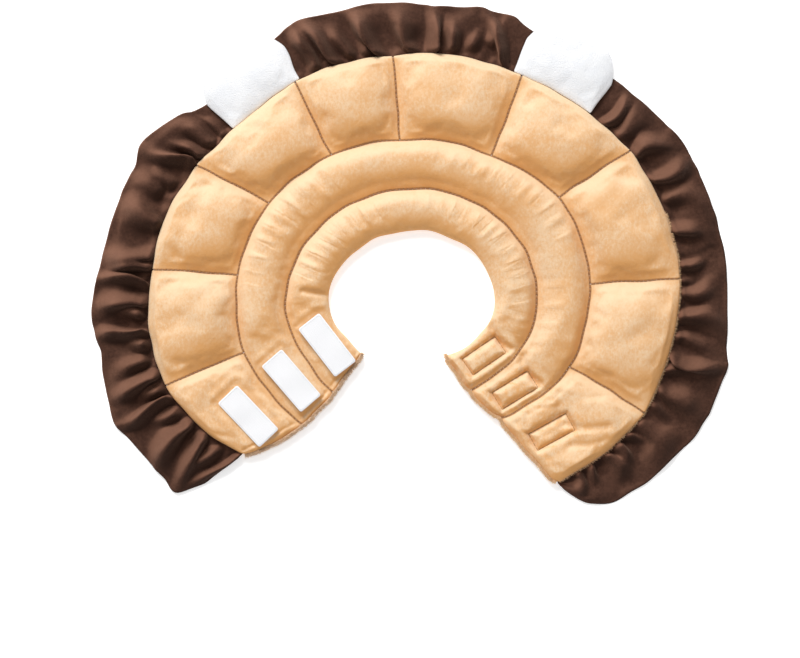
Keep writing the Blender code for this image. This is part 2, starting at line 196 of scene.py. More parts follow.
def polar(places):
    """Angles in degrees, from -90 to 270, and radii of points."""
    offset = places[:, :2] - RING_CENTRE
    degrees = np.degrees(np.arctan2(offset[:, 1], offset[:, 0]))
    return np.where(degrees < -90.0, degrees + 360.0, degrees), np.hypot(offset[:, 0], offset[:, 1])


def ease(share):
    share = np.clip(share, 0.0, 1.0)
    return share * share * (3.0 - 2.0 * share)


def bell(distance, width):
    """1 at no distance, and fading smoothly to 0 over about two widths."""
    return np.exp(-((distance / width) ** 2))


WAVES = 16


def ripple(places, size, seed):
    """Smooth irregular unevenness between about -1 and 1, with hollows of a given size."""
    draw = np.random.default_rng(seed)
    total = np.zeros(len(places))
    for _ in range(WAVES):
        turn = draw.uniform(0.0, math.tau)
        pitch = math.tau / (size * draw.uniform(1.5, 3.2))
        phase = draw.uniform(0.0, math.tau)
        total += np.sin((places[:, 0] * math.cos(turn) + places[:, 1] * math.sin(turn)) * pitch + phase)
    return total / math.sqrt(WAVES) / 1.4


def points(piece):
    flat = np.zeros(len(piece.data.vertices) * 3)
    piece.data.vertices.foreach_get("co", flat)
    return flat.reshape(-1, 3)


def set_points(piece, places):
    piece.data.vertices.foreach_set("co", np.ascontiguousarray(places).ravel())
    piece.data.update()


def only(piece):
    bpy.ops.object.select_all(action="DESELECT")
    piece.select_set(True)
    bpy.context.view_layer.objects.active = piece


def refine(piece, levels):
    only(piece)
    rounding = piece.modifiers.new("rounding", "SUBSURF")
    rounding.levels = rounding.render_levels = levels
    bpy.ops.object.modifier_apply(modifier="rounding")


def keep_values(piece, name, values):
    """Stores one number for each vertex, for the material to read."""
    layer = piece.data.attributes.new(name, "FLOAT", "POINT")
    layer.data.foreach_set("value", values.astype(np.float32))


def kept_values(piece, name):
    values = np.zeros(len(piece.data.vertices), dtype=np.float32)
    piece.data.attributes[name].data.foreach_get("value", values)
    return values.astype(float)


def cross_seam(row, share):
    """Angles and radii along a seam between two panels, from the middle seam outwards."""
    degrees = STATIONS[row, 2] + (STATIONS[row, 3] - STATIONS[row, 2]) * share
    radius = STATIONS[row, 6] + (STATIONS[row, 7] - STATIONS[row, 6]) * share
    return degrees, radius * MM


# Every stitched line of the ring as a cloud of points, to measure how near a seam is
def seam_cloud():
    spots = []
    for line in (NECK_SEAM, MIDDLE_SEAM):
        spots.append(at(RING_LINES[:, line], RING_LINES[:, 4 + line] * MM))
    for row in CROSS_SEAMS:
        spots.append(at(*cross_seam(row, np.linspace(0.0, 1.0, 90))))
    return np.concatenate(spots)


cloud = seam_cloud()
SEAM_TREE = kdtree.KDTree(len(cloud))
for index, spot in enumerate(cloud):
    SEAM_TREE.insert((spot[0], spot[1], 0.0), index)
SEAM_TREE.balance()


def seam_distance(places):
    return np.array([SEAM_TREE.find((x, y, 0.0))[2] for x, y in places[:, :2]])


# How firmly a rim keeps its edge where it is sewn to its neighbour, and where it is rolled
SEWN_REACH, SEWN_CREASE, ROLLED_CREASE = 1.2 * MM, 0.8, 0.25


def bare_copy(node):
    """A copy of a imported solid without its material."""
    mesh = frame["nodes"][node].data.copy()
    mesh.materials.clear()
    piece = bpy.data.objects.new("soft_" + node, mesh)
    bpy.context.scene.collection.objects.link(piece)
    return piece


def new_piece(name, corners, faces):
    mesh = bpy.data.meshes.new(name)
    mesh.from_pydata(corners.tolist(), [], faces)
    piece = bpy.data.objects.new(name, mesh)
    bpy.context.scene.collection.objects.link(piece)
    return piece


def soft_copy(node, levels):
    """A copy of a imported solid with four-sided faces, its rims held, rounded by subdivision.

    Its attribute "free" is 1 on the top, away from the seams, and 0 on the rims and below.
    """
    piece = bare_copy(node)
    work = bmesh.new()
    work.from_mesh(piece.data)
    bmesh.ops.remove_doubles(work, verts=work.verts[:], dist=1e-6)
    bmesh.ops.join_triangles(
        work,
        faces=work.faces[:],
        angle_face_threshold=math.radians(60.0),
        angle_shape_threshold=math.radians(179.0),
    )
    crease = work.edges.layers.float.new("crease_edge")
    free = work.verts.layers.float.new("free")
    for corner in work.verts:
        corner[free] = float(all(face.normal.z > 0.25 for face in corner.link_faces))
    if node.endswith("band"):
        top = [corner for corner in work.verts if corner[free]]
        for _ in range(2):
            bmesh.ops.smooth_vert(work, verts=top, factor=0.5, use_axis_z=True)
    for edge in work.edges:
        walls = [abs(face.normal.z) < 0.25 for face in edge.link_faces]
        if walls[0] != walls[1] or (all(walls) and edge.calc_face_angle() > math.radians(40.0)):
            middle = (edge.verts[0].co + edge.verts[1].co) / 2.0
            sewn = SEAM_TREE.find((middle.x, middle.y, 0.0))[2] < SEWN_REACH
            edge[crease] = SEWN_CREASE if sewn else ROLLED_CREASE
    work.to_mesh(piece.data)
    work.free()
    refine(piece, levels)
    return piece


def stuff(piece, held, pressure, slack, frames, limit, bending=0.4):
    """Blows the cloth up, or lets it buckle, round the corners that are held."""
    start = points(piece)
    group = piece.vertex_groups.new(name="held")
    group.add([int(corner) for corner in np.flatnonzero(held)], 1.0, "REPLACE")
    cloth = piece.modifiers.new("cloth", "CLOTH")
    settings = cloth.settings
    settings.quality = 5
    settings.mass = 0.05
    settings.tension_stiffness = settings.compression_stiffness = 20.0
    settings.shear_stiffness = 8.0
    settings.bending_stiffness = bending
    settings.use_pressure = pressure > 0.0
    settings.uniform_pressure_force = pressure
    settings.shrink_min = -slack
    settings.vertex_group_mass = "held"
    settings.effector_weights.gravity = 0.0
    cloth.collision_settings.use_collision = False
    cloth.point_cache.frame_start, cloth.point_cache.frame_end = 1, frames
    for step in range(1, frames + 1):
        bpy.context.scene.frame_set(step)
    only(piece)
    bpy.ops.object.modifier_apply(modifier="cloth")
    piece.vertex_groups.clear()
    bpy.context.scene.frame_set(1)
    move = points(piece) - start
    reach = np.linalg.norm(move, axis=1, keepdims=True)
    places = start + move * np.minimum(1.0, limit / np.maximum(reach, 1e-9))
    set_points(piece, places)


class Tape:
    """Where a patch lies: its middle, direction and half sizes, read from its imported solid."""

    def __init__(self, node):
        mesh = frame["nodes"][node].data
        flat = np.zeros(len(mesh.vertices) * 3)
        mesh.vertices.foreach_get("co", flat)
        corners = flat.reshape(-1, 3)
        low, high = corners.min(axis=0), corners.max(axis=0)
        self.low, self.high = low[2], high[2]
        spread = np.unique(corners[:, :2].round(6), axis=0)
        self.middle = (spread.min(axis=0) + spread.max(axis=0)) / 2.0
        turned = np.linalg.svd(spread - spread.mean(axis=0))[2]
        self.along, self.across = turned[0], turned[1]
        self.half_length = np.abs((spread - self.middle) @ self.along).max()
        self.half_width = np.abs((spread - self.middle) @ self.across).max()

    def outside(self, places):
        """How far points lie beyond the patch's border; below 0 inside it."""
        offset = places[:, :2] - self.middle
        along = np.abs(offset @ self.along) - self.half_length
        across = np.abs(offset @ self.across) - self.half_width
        beyond = np.hypot(np.maximum(along, 0.0), np.maximum(across, 0.0))
        return np.where(beyond > 0.0, beyond, np.maximum(along, across))


HOOKS = {node: Tape(node) for node in ("neck_hook_patch", "middle_hook_patch", "outer_hook_patch")}
LOOPS = {node: Tape(node) for node in ("neck_loop_patch", "middle_loop_patch", "outer_loop_patch")}


def line_distance(places, path):
    """Distance from points to a bent line through (angle, radius in millimetres) pairs."""
    nodes = np.array([at(degrees, radius * MM) for degrees, radius in path])
    nearest = np.full(len(places), 1.0)
    for start, end in zip(nodes[:-1], nodes[1:]):
        step = end - start
        share = np.clip((places[:, :2] - start) @ step / (step @ step), 0.0, 1.0)
        gap = places[:, :2] - start - share[:, None] * step
        nearest = np.minimum(nearest, np.hypot(gap[:, 0], gap[:, 1]))
    return nearest


# Stretches of short gathers: angles where they start and end, line on the inner side, shares of
# the band's width that they cover, height in millimetres, and gathers from end to end
GATHERS = [
    ("middle_band", 167.0, 124.0, 0.30, 1.00, 1.15, 9),
    ("middle_band", 74.0, 26.0, 0.42, 1.02, 0.80, 10),
    ("middle_band", 14.0, -16.0, 0.00, 0.55, 0.40, 5),
    ("neck_band", 160.0, 120.0, 0.25, 1.00, 1.10, 7),
    ("neck_band", 114.0, 68.0, 0.40, 1.00, 0.60, 8),
    ("neck_band", 60.0, 10.0, 0.30, 1.00, 0.85, 8),
    ("neck_band", 6.0, -22.0, 0.10, 0.90, 0.35, 4),
]
# Creases pressed into the pads: width and depth in millimetres, and the line they follow
CREASES = [
    ("neck_band", 2.6, 2.0, [(173.5, 66.0), (173.0, 84.0)]),
    ("neck_band", 3.0, 3.0, [(-24.6, 79.5), (-22.3, 66.0), (-12.0, 58.0)]),
    ("middle_band", 3.0, 3.0, [(-31.9, 112.0), (-31.3, 97.5), (-25.4, 90.0)]),
    ("panel_10", 3.6, 1.9, [(-31.5, 128.0), (-35.4, 135.0), (-38.4, 143.0)]),
    ("panel_10", 3.4, 1.5, [(-38.4, 146.0), (-36.0, 158.0), (-32.0, 172.0)]),
    ("panel_10", 2.6, 0.9, [(-42.0, 158.0), (-38.4, 168.0), (-34.5, 178.0)]),
    ("panel_10", 2.2, 0.9, [(-47.0, 124.0), (-44.0, 118.0)]),
    ("panel_02", 5.5, 0.9, [(197.0, 182.0), (190.0, 184.0), (182.0, 185.0), (173.0, 182.0)]),
    ("panel_03", 5.5, 1.1, [(171.0, 182.0), (164.0, 182.0), (156.0, 181.0), (149.5, 178.0)]),
    ("panel_04", 5.5, 0.8, [(146.0, 178.0), (139.0, 174.0), (132.0, 172.0), (124.0, 176.0)]),
    ("panel_02", 6.5, 0.8, [(184.0, 176.0), (178.0, 158.0), (175.0, 150.0)]),
    ("panel_08", 6.5, 0.7, [(32.0, 190.0), (29.0, 176.0), (27.0, 160.0)]),
    ("panel_09", 6.5, 0.6, [(2.0, 190.0), (-6.0, 176.0), (-12.0, 152.0)]),
]


def gather_relief(node, places):
    """Short ridges across a band, where more cloth than filling is sewn into its seam."""
    lines = (NECK_EDGE, NECK_SEAM) if node == "neck_band" else (NECK_SEAM, MIDDLE_SEAM)
    degrees, radius = polar(places)
    inner, outer = (radius_at(line, degrees) for line in lines)
    share = (radius - inner) / (outer - inner)
    total = np.zeros(len(places))
    for number, (band, start, end, low, high, height, count) in enumerate(GATHERS):
        if band != node:
            continue
        draw = np.random.default_rng(100 + number)
        for middle in np.linspace(start, end, count):
            middle += draw.uniform(-0.3, 0.3) * abs(start - end) / count
            slant = draw.uniform(-2.0, 2.0)
            width = draw.uniform(2.2, 3.3) * MM
            tall = height * draw.uniform(0.5, 1.15) * MM
            from_share = low + draw.uniform(-0.08, 0.14)
            to_share = high - draw.uniform(0.0, 0.14)
            aside = np.radians(degrees - middle - slant * (share - 0.6)) * radius
            reach = ease((share - from_share) / 0.18) * ease((to_share - share) / 0.14 + 0.2)
            total += tall * (bell(aside, width) - 0.45) * reach * (np.abs(aside) < 4.0 * width)
    return total


# Three stitched boxes hold the loop patches on the right end: middle (angle, radius in mm),
# direction in degrees, length and width in mm
BOXES = [
    ("neck_band", at(-35.9, 65.1 * MM), 34.4, 30.0, 14.6),
    ("middle_band", at(-40.1, 99.3 * MM), 31.4, 31.5, 14.8),
    ("panel_10", at(-42.65, 140.8 * MM), 28.5, 32.0, 14.2),
]


# Depth and width of a box's groove, height and slope of its pillow, and height, distance and
# width of the ridge round it, in millimetres
BOX_GROOVE, BOX_PILLOW, BOX_RIDGE = (2.3, 1.3), (1.7, 5.5), (0.8, 4.6, 3.2)


def box_relief(node, places):
    """A stitched rectangle: a groove all round, a small pillow in it, and how near it is."""
    total, nearest = np.zeros(len(places)), np.full(len(places), 1.0)
    for band, middle, turn, length, width in BOXES:
        if band != node:
            continue
        direction = np.array((math.cos(math.radians(turn)), math.sin(math.radians(turn))))
        offset = places[:, :2] - middle
        along = np.abs(offset @ direction)
        across = np.abs(offset @ np.array((-direction[1], direction[0])))
        border = np.maximum(along - length * MM / 2.0, across - width * MM / 2.0)
        nearest = np.minimum(nearest, np.abs(border))
        border = border / MM
        total -= BOX_GROOVE[0] * MM * bell(border, BOX_GROOVE[1])
        total += BOX_PILLOW[0] * MM * ease(-border / BOX_PILLOW[1])
        total += BOX_RIDGE[0] * MM * bell(border - BOX_RIDGE[1], BOX_RIDGE[2])
    return total, nearest


LEFT_END = [tuple(pair) for pair in zip(RING_LINES[0, :4], RING_LINES[0, 4:])]
RIGHT_END = [tuple(pair) for pair in zip(RING_LINES[-1, :4], RING_LINES[-1, 4:])]
# Relief in millimetres: the groove and the rolled edge at the left end and the thick edge at the
# right end as height, distance from the edge and width, and the outer rim's lean and width
LEFT_GROOVE, LEFT_ROLL, RIGHT_ROLL, RIM_LEAN = (1.0, 4.6, 1.5), (0.6, 2.0, 1.8), (1.9, 3.6, 2.8), (0.9, 2.5)
# Uneven filling as height, size of the hollows and seed, and the same for puckers near seams
FILLING = ((0.36, 30.0, 3), (0.10, 9.0, 4), (0.04, 1.6, 6))
PUCKERS, PUCKERED = (0.20, 4.6, 5), 7.0
# How deep the top dips to a seam, and how fast it rises from there, on the ring and on the tab
SEAM_DIP, TAB_DIP, TAB_FADE = (3.4, 7.5), (2.4, 1.8), 9.0
# What lies round a hook patch: flat cloth to this distance, then a low swelling
PATCH_FLAT, PATCH_SWELL = 3.0, (0.9, 6.0, 3.0)
# A box's border counts as this many millimetres from a seam: no brown seam line along it, only the painted
# shade of its groove.
BOX_GROOVE_SHADE_OFFSET = 1.9


# Where the turned ends draw in: at their corners and at the ends of the seams, in millimetres
DRAWN_IN = [(0, -90.0, (1.2, 0.9, 0.9, 0.8)), (-1, 90.0, (2.0, 1.7, 1.9, 1.4))]
DRAWN_REACH = 3.2 * MM


def hand_sewn(flat):
    """The small wander of every seam and edge, the same for neighbours on both sides of it."""
    wander = 0.45 * MM * np.column_stack((ripple(flat, 11.0 * MM, 1), ripple(flat, 11.0 * MM, 2)))
    for station, turn, depths in DRAWN_IN:
        for line, depth in enumerate(depths):
            degrees, radius = RING_LINES[station, line], RING_LINES[station, 4 + line] * MM
            pull = at(degrees + turn, depth * MM) - RING_CENTRE
            gap = ((flat - at(degrees, radius)) ** 2).sum(axis=1)
            wander += np.exp(-gap / DRAWN_REACH**2)[:, None] * pull
    return wander


def dress_pad(pad, node):
    """Uneven filling, puckers along the seams, gathers, creases and stitched boxes."""
    places = points(pad)
    free = kept_values(pad, "free")
    flat = places[:, :2]
    distance = seam_distance(places)
    places[:, :2] += hand_sewn(flat)
    rise = sum(height * MM * ripple(flat, size * MM, seed) for height, size, seed in FILLING)
    height, size, seed = PUCKERS
    rise += height * MM * bell(distance, PUCKERED * MM) * ripple(flat, size * MM, seed)
    beyond_tab = [tape.outside(places).clip(0.0) for tape in LOOPS.values()]
    tab = np.max([bell(beyond, TAB_FADE * MM) for beyond in beyond_tab], axis=0)
    rise -= SEAM_DIP[0] * MM * np.exp(-distance / (SEAM_DIP[1] * MM)) * (1.0 - tab)
    rise -= TAB_DIP[0] * MM * np.exp(-distance / (TAB_DIP[1] * MM)) * tab
    if node.endswith("band"):
        rise += gather_relief(node, places)
    for band, width, depth, path in CREASES:
        if band == node:
            rise -= depth * MM * bell(line_distance(places, path), width * MM)
    boxed, from_box = box_relief(node, places)
    rise += boxed
    if node in ("neck_band", "middle_band", "panel_01"):
        inward = line_distance(places, LEFT_END) / MM
        rise -= LEFT_GROOVE[0] * MM * bell(inward - LEFT_GROOVE[1], LEFT_GROOVE[2])
        rise += LEFT_ROLL[0] * MM * bell(inward - LEFT_ROLL[1], LEFT_ROLL[2])
    if node in ("neck_band", "middle_band", "panel_10"):
        inward = line_distance(places, RIGHT_END) / MM
        rise += RIGHT_ROLL[0] * MM * bell(inward - RIGHT_ROLL[1], RIGHT_ROLL[2])
    if node.startswith("panel"):
        degrees, radius = polar(places)
        from_rim = radius_at(OUTER_EDGE, degrees) - radius
        upper = ease((places[:, 2] - 3.0 * MM) / (3.0 * MM))
        lean = RIM_LEAN[0] * MM * bell(from_rim, RIM_LEAN[1] * MM) * upper
        places[:, :2] += at(degrees, lean) - RING_CENTRE
    for tape in HOOKS.values():
        beyond = tape.outside(places) / MM
        rise *= ease(beyond / PATCH_FLAT)
        rise += PATCH_SWELL[0] * MM * bell(beyond - PATCH_SWELL[1], PATCH_SWELL[2])
    places[:, 2] = np.maximum(places[:, 2] + rise * free, np.minimum(places[:, 2], 1.2 * MM))
    places[:, 2] = np.maximum(places[:, 2], 0.0)
    set_points(pad, places)
    # Distance to the nearest seam or box border: the material draws the brown seam line from it, and painted
    # shade near seams and in box grooves.
    keep_values(pad, "seam", np.minimum(distance, from_box + BOX_GROOVE_SHADE_OFFSET * MM) / MM)
    keep_values(pad, "tousled", tab)


class Shade:
    """A shader socket that takes part in sums and products, which add the Math nodes."""

    def __init__(self, tree, socket):
        self.tree, self.socket = tree, socket

    def math(self, operation, *others):
        node = self.tree.nodes.new("ShaderNodeMath")
        node.operation = operation
        for slot, value in zip(node.inputs, (self, *others)):
            if isinstance(value, Shade):
                self.tree.links.new(value.socket, slot)
            else:
                slot.default_value = value
        return Shade(self.tree, node.outputs[0])

    def __add__(self, other):
        return self.math("ADD", other)

    def __mul__(self, other):
        return self.math("MULTIPLY", other)

    def __rsub__(self, other):
        return (self * -1.0) + other

    __radd__ = __add__


# Points away from the key light: slopes facing this way get painted shade, slopes facing against it painted
# light.
SHADE_SIDE_DIRECTION = (0.26, -0.96, 0.0)


class Cloth:
    """A material with a Principled shader, and short ways to add nodes to it."""

    def __init__(self, name, colour, roughness):
        self.material = plain_material(name, colour, roughness)
        self.tree = self.material.node_tree
        self.shader = self.tree.nodes["Principled BSDF"]

    def node(self, kind, settings=None, result=0, **inputs):
        made = self.tree.nodes.new(kind)
        for key, value in (settings or {}).items():
            setattr(made, key, value)
        for key, value in inputs.items():
            socket = made.inputs[int(key[1:])] if key[1:].isdigit() else made.inputs[key.replace("_", " ")]
            if isinstance(value, Shade):
                self.tree.links.new(value.socket, socket)
            elif isinstance(value, tuple) and socket.type == "RGBA":
                socket.default_value = (*value, 1.0)
            else:
                socket.default_value = value
        return Shade(self.tree, made.outputs[result])

    def place(self, stretch=(1.0, 1.0, 1.0)):
        spot = self.node("ShaderNodeTexCoord", result="Object")
        if stretch != (1.0, 1.0, 1.0):
            spot = self.node("ShaderNodeMapping", Vector=spot, Scale=Vector(stretch))
        return spot

    def noise(self, scale, detail=2.0, roughness=0.5, where=None):
        return self.node(
            "ShaderNodeTexNoise",
            Vector=where or self.place(),
            Scale=scale,
            Detail=detail,
            Roughness=roughness,
        )

    def attribute(self, name):
        return self.node("ShaderNodeAttribute", {"attribute_name": name}, result="Fac")

    def painted_light_by_slope(self, low, high, direction=SHADE_SIDE_DIRECTION):
        """How far the surface slopes towards a direction, from low to high: the share of painted shade on
        slopes that face away from the key light and, with a negative range, the share of painted light on
        slopes that face it; this stands in for how the brushed pile catches the light.
        """
        facing = self.node("ShaderNodeTexCoord", result="Normal")
        slope = self.node(
            "ShaderNodeVectorMath", {"operation": "DOT_PRODUCT"}, result="Value", _0=facing, _1=direction
        )
        return self.span(slope, low, high)

    def mix(self, share, first, second):
        return self.node("ShaderNodeMix", {"data_type": "RGBA"}, result=2, _0=share, _6=first, _7=second)

    def span(self, value, low, high):
        """Value moved from low..high to 0..1, smoothly, and held there."""
        return self.node(
            "ShaderNodeMapRange",
            {"interpolation_type": "SMOOTHSTEP"},
            Value=value,
            From_Min=low,
            From_Max=high,
        )

    def feed(self, name, value):
        self.tree.links.new(value.socket, self.shader.inputs[name])

    def bump(self, height, distance, strength=1.0):
        self.feed("Normal", self.node("ShaderNodeBump", Height=height, Distance=distance, Strength=strength))

    def sheen(self, weight, roughness, tint):
        self.shader.inputs["Sheen Weight"].default_value = weight
        self.shader.inputs["Sheen Roughness"].default_value = roughness
        self.shader.inputs["Sheen Tint"].default_value = (*tint, 1.0)
        self.shader.inputs["Specular IOR Level"].default_value = 0.12


TAN = (0.735, 0.410, 0.185)
TAN_PALE = (0.800, 0.570, 0.360)
# Deeper tan: painted shade near seams and on slopes away from the key light, and the dark tufts.
TAN_DEEP_AND_SHADE = (0.780, 0.385, 0.130)
# Paler tan: painted light on slopes that face the key light.
TAN_PAINTED_LIGHT = (0.850, 0.640, 0.420)
TAN_TIPS = (0.860, 0.640, 0.415)
SEAM_BROWN = (0.400, 0.190, 0.070)


def tan_plush():
    """Short-pile plush: mottled where the nap lies differently, deeper in colour near the seams as painted
    shade, partly pressed pile, with painted shade and painted light on its slopes by how they face the key
    light.
    """
    cloth = Cloth("tan_plush", TAN, 0.92)
    brushed = cloth.noise(32.0, 3.0, 0.55)
    stroke = cloth.noise(520.0, 4.0, 0.8, cloth.place((1.0, 0.6, 1.0)))
    pile = cloth.noise(1300.0, 3.0, 0.65)
    seam = cloth.attribute("seam")
    share = cloth.span(brushed * 0.42 + stroke * 0.58, 0.38, 0.64)
    colour = cloth.mix(share, TAN, TAN_PALE)
    # Painted shade within a few millimetres of the seams and box grooves, partly pile pressed down by the
    # stitching.
    painted_seam_shade = 1.0 - cloth.span(seam + stroke * 3.0, 1.0, 9.0)
    colour = cloth.mix(painted_seam_shade * 0.42, colour, TAN_DEEP_AND_SHADE)
    # Painted shade on slopes that face away from the key light, and painted light on slopes that face it.
    colour = cloth.mix(cloth.painted_light_by_slope(0.0, 0.42) * 0.9, colour, TAN_DEEP_AND_SHADE)
    colour = cloth.mix(cloth.painted_light_by_slope(0.0, -0.50) * 0.8, colour, TAN_PAINTED_LIGHT)
    tufts = cloth.noise(170.0, 5.0, 0.72)
    tousled = cloth.attribute("tousled") * 0.45 + 0.12
    colour = cloth.mix(cloth.span(tufts, 0.47, 0.68) * tousled, colour, TAN_TIPS)
    colour = cloth.mix(cloth.span(tufts, 0.50, 0.34) * tousled, colour, TAN_DEEP_AND_SHADE)
    stitched = 1.0 - cloth.span(seam + stroke * 0.5, 0.45, 1.65)
    cloth.feed("Base Color", cloth.mix(stitched, colour, SEAM_BROWN))
    cloth.bump(pile * 0.55 + stroke * 0.45, 0.0011, 0.55)
    cloth.sheen(0.30, 0.45, (1.0, 0.86, 0.66))
    return cloth.material


PANELS = [f"panel_{number:02d}" for number in range(1, 11)]
plush = tan_plush()
for node in ["neck_band", "middle_band"] + PANELS:
    band = node.endswith("band")
    pad = soft_copy(node, 1 if band else 2)
    places = points(pad)
    held = kept_values(pad, "free") < 0.7
    for tape in HOOKS.values():
        held |= tape.outside(places) < 2.0 * MM
    stuff(pad, held, pressure=0.8, slack=0.012, frames=12, limit=1.2 * MM)
    refine(pad, 2)
    dress_pad(pad, node)
    pad.data.shade_smooth()
    pad.data.materials.append(plush)
    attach(pad, "root")
    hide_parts(node)


# Seam stitching: the quilting thread, in short stitches that sink between the pads, round the
# two ring seams and across the outer ring, and round the boxes that hold the loop patches.
STITCH_LENGTH, STITCH_GAP = 3.0 * MM, 0.25 * MM
STITCH_ROUTE = ((-0.5, 0.0, 0.0), (-0.36, 0.0, 0.0), (0.36, 0.0, 0.0), (0.5, 0.0, 0.0))
STITCH_RADII = (0.45, 1.0, 1.0, 0.45)


def strand(name, route, radii, thickness, roundness):
    """A short closed length of thread, bent through a few points."""
    bpy.ops.curve.primitive_bezier_curve_add(location=(0.0, 0.0, 0.0))
    line = bpy.context.object
    line.name = name
    line.data.resolution_u = 1
    line.data.bevel_depth = thickness
    line.data.bevel_resolution = roundness
    line.data.use_fill_caps = True
    corners = line.data.splines[0].bezier_points
    corners.add(len(route) - 2)
    for corner, place, radius in zip(corners, route, radii):
        corner.handle_left_type = corner.handle_right_type = "VECTOR"
        corner.co = place
        corner.radius = radius
    bpy.ops.object.convert(target="MESH")
    bpy.ops.object.mode_set(mode="EDIT")
    bpy.ops.mesh.select_all(action="SELECT")
    bpy.ops.mesh.remove_doubles(threshold=1e-5)
    bpy.ops.mesh.normals_make_consistent(inside=False)
    bpy.ops.object.mode_set(mode="OBJECT")
    return bpy.context.object


def copies(name, shape, places, along, sizes, material):
    """One piece of many copies of a shape, each turned along a direction and stretched."""
    aside = np.cross((0.0, 0.0, 1.0), along)
    aside /= np.linalg.norm(aside, axis=1, keepdims=True)
    axes = np.stack((along, aside, np.cross(along, aside)), axis=1) * sizes[:, :, None]
    form = points(shape)
    corners = places[:, None, :] + np.einsum("vi,nij->nvj", form, axes)
    faces = [np.array(face.vertices) for face in shape.data.polygons]
    faces = [(face + number * len(form)).tolist() for number in range(len(places)) for face in faces]
    bpy.data.objects.remove(shape)
    piece = new_piece(name, corners.reshape(-1, 3), faces)
    piece.data.shade_smooth()
    piece.data.materials.append(material)
    return piece


def stitches(name, runs, radius, material):
    """Stitches laid end to end along runs of points in space."""
    middles, steps = [], []
    for run in runs:
        travelled = np.concatenate(([0.0], np.cumsum(np.linalg.norm(np.diff(run, axis=0), axis=1))))
        count = max(1, int(travelled[-1] / (STITCH_LENGTH + STITCH_GAP)))
        pitch = travelled[-1] / count
        start, end = (
            np.column_stack([np.interp(np.arange(count) * pitch + shift, travelled, line) for line in run.T])
            for shift in (STITCH_GAP / 2.0, pitch - STITCH_GAP / 2.0)
        )
        middles.append((start + end) / 2.0)
        steps.append(end - start)
    middles, steps = np.concatenate(middles), np.concatenate(steps)
    length = np.linalg.norm(steps, axis=1, keepdims=True)
    sizes = np.hstack((length, np.full((len(length), 2), radius)))
    stitch = strand(name + "_shape", STITCH_ROUTE, STITCH_RADII, 1.0, 1)
    return copies(name, stitch, middles, steps / length, sizes, material)


def thread(name, colour, dark):
    """Twisted sewing thread."""
    cloth = Cloth(name, colour, 0.7)
    twist = cloth.noise(1400.0, 2.0, 0.6)
    cloth.feed("Base Color", cloth.mix(cloth.span(twist, 0.35, 0.65), dark, colour))
    cloth.bump(twist, 0.0003, 0.6)
    return cloth.material


def surface_of(piece):
    """Finds the height of a piece's top under a point of the plan."""
    tree = bvhtree.BVHTree.FromPolygons(
        [corner.co for corner in piece.data.vertices],
        [face.vertices for face in piece.data.polygons],
    )

    def height(x, y, otherwise):
        hit = tree.ray_cast(Vector((x, y, 0.1)), Vector((0.0, 0.0, -1.0)))[0]
        return hit.z if hit else otherwise

    return height


def laid(path, height_at, otherwise=5.0 * MM, lift=0.0):
    """A path of the plan laid on a surface."""
    return np.array([(x, y, height_at(x, y, otherwise) + lift) for x, y in path])


def rectangle(middle, along, across, half_length, half_width, step=1.0 * MM):
    """Points round a rectangle of the plan, back to its first corner."""
    corners = [(-1, -1), (1, -1), (1, 1), (-1, 1), (-1, -1)]
    corners = [middle + a * half_length * along + b * half_width * across for a, b in corners]
    sides = []
    for start, end in zip(corners[:-1], corners[1:]):
        count = max(2, int(np.linalg.norm(end - start) / step))
        sides.append(start + np.linspace(0.0, 1.0, count)[:, None] * (end - start))
    return sides


SEAM_THREAD_RADIUS, SEAM_THREAD_SINK, BESIDE = 0.60 * MM, 0.25 * MM, 1.0 * MM
BOX_THREAD_RADIUS = 0.32 * MM
tops = {node: surface_of(bpy.data.objects["soft_" + node]) for node in ["neck_band", "middle_band"] + PANELS}


def sewn_run(path, first, second, aside):
    """A seam's thread, at the height that the cloth has beside it on both sides."""
    path = path + hand_sewn(path)
    sides = ((-BESIDE, first), (BESIDE, second))
    levels = [laid(path + shift * aside, tops[pad])[:, 2] for shift, pad in sides]
    level = np.minimum(*levels) - SEAM_THREAD_SINK
    level = np.convolve(np.pad(level, 4, mode="edge"), np.full(9, 1.0 / 9.0), mode="valid")
    return np.column_stack((path, level))


seam_runs = []
degrees, radii = RING_LINES[4:-4, :4], RING_LINES[4:-4, 4:] * MM
outwards = at(degrees[:, NECK_SEAM], np.ones(len(degrees))) - RING_CENTRE
neck_run = at(degrees[:, NECK_SEAM], radii[:, NECK_SEAM])
seam_runs.append(sewn_run(neck_run, "neck_band", "middle_band", outwards))
for number, node in enumerate(PANELS):
    part = slice(number * LINES_PER_PANEL, (number + 1) * LINES_PER_PANEL + 1)
    stretch = at(RING_LINES[part, MIDDLE_SEAM], RING_LINES[part, 4 + MIDDLE_SEAM] * MM)
    outwards = at(RING_LINES[part, MIDDLE_SEAM], np.ones(len(stretch))) - RING_CENTRE
    seam_runs.append(sewn_run(stretch, "middle_band", node, outwards))
for row in CROSS_SEAMS:
    degrees, radius = cross_seam(row, np.linspace(0.01, 0.985, 60))
    aside = at(degrees + 90.0, np.ones(60)) - RING_CENTRE
    seam_runs.append(sewn_run(at(degrees, radius), PANELS[row // 2], PANELS[row // 2 - 1], aside))
quilting_thread = thread("quilting_thread", (0.40, 0.19, 0.075), (0.26, 0.115, 0.042))
quilting = stitches("seam_stitching", seam_runs, SEAM_THREAD_RADIUS, quilting_thread)
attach(quilting, "root")

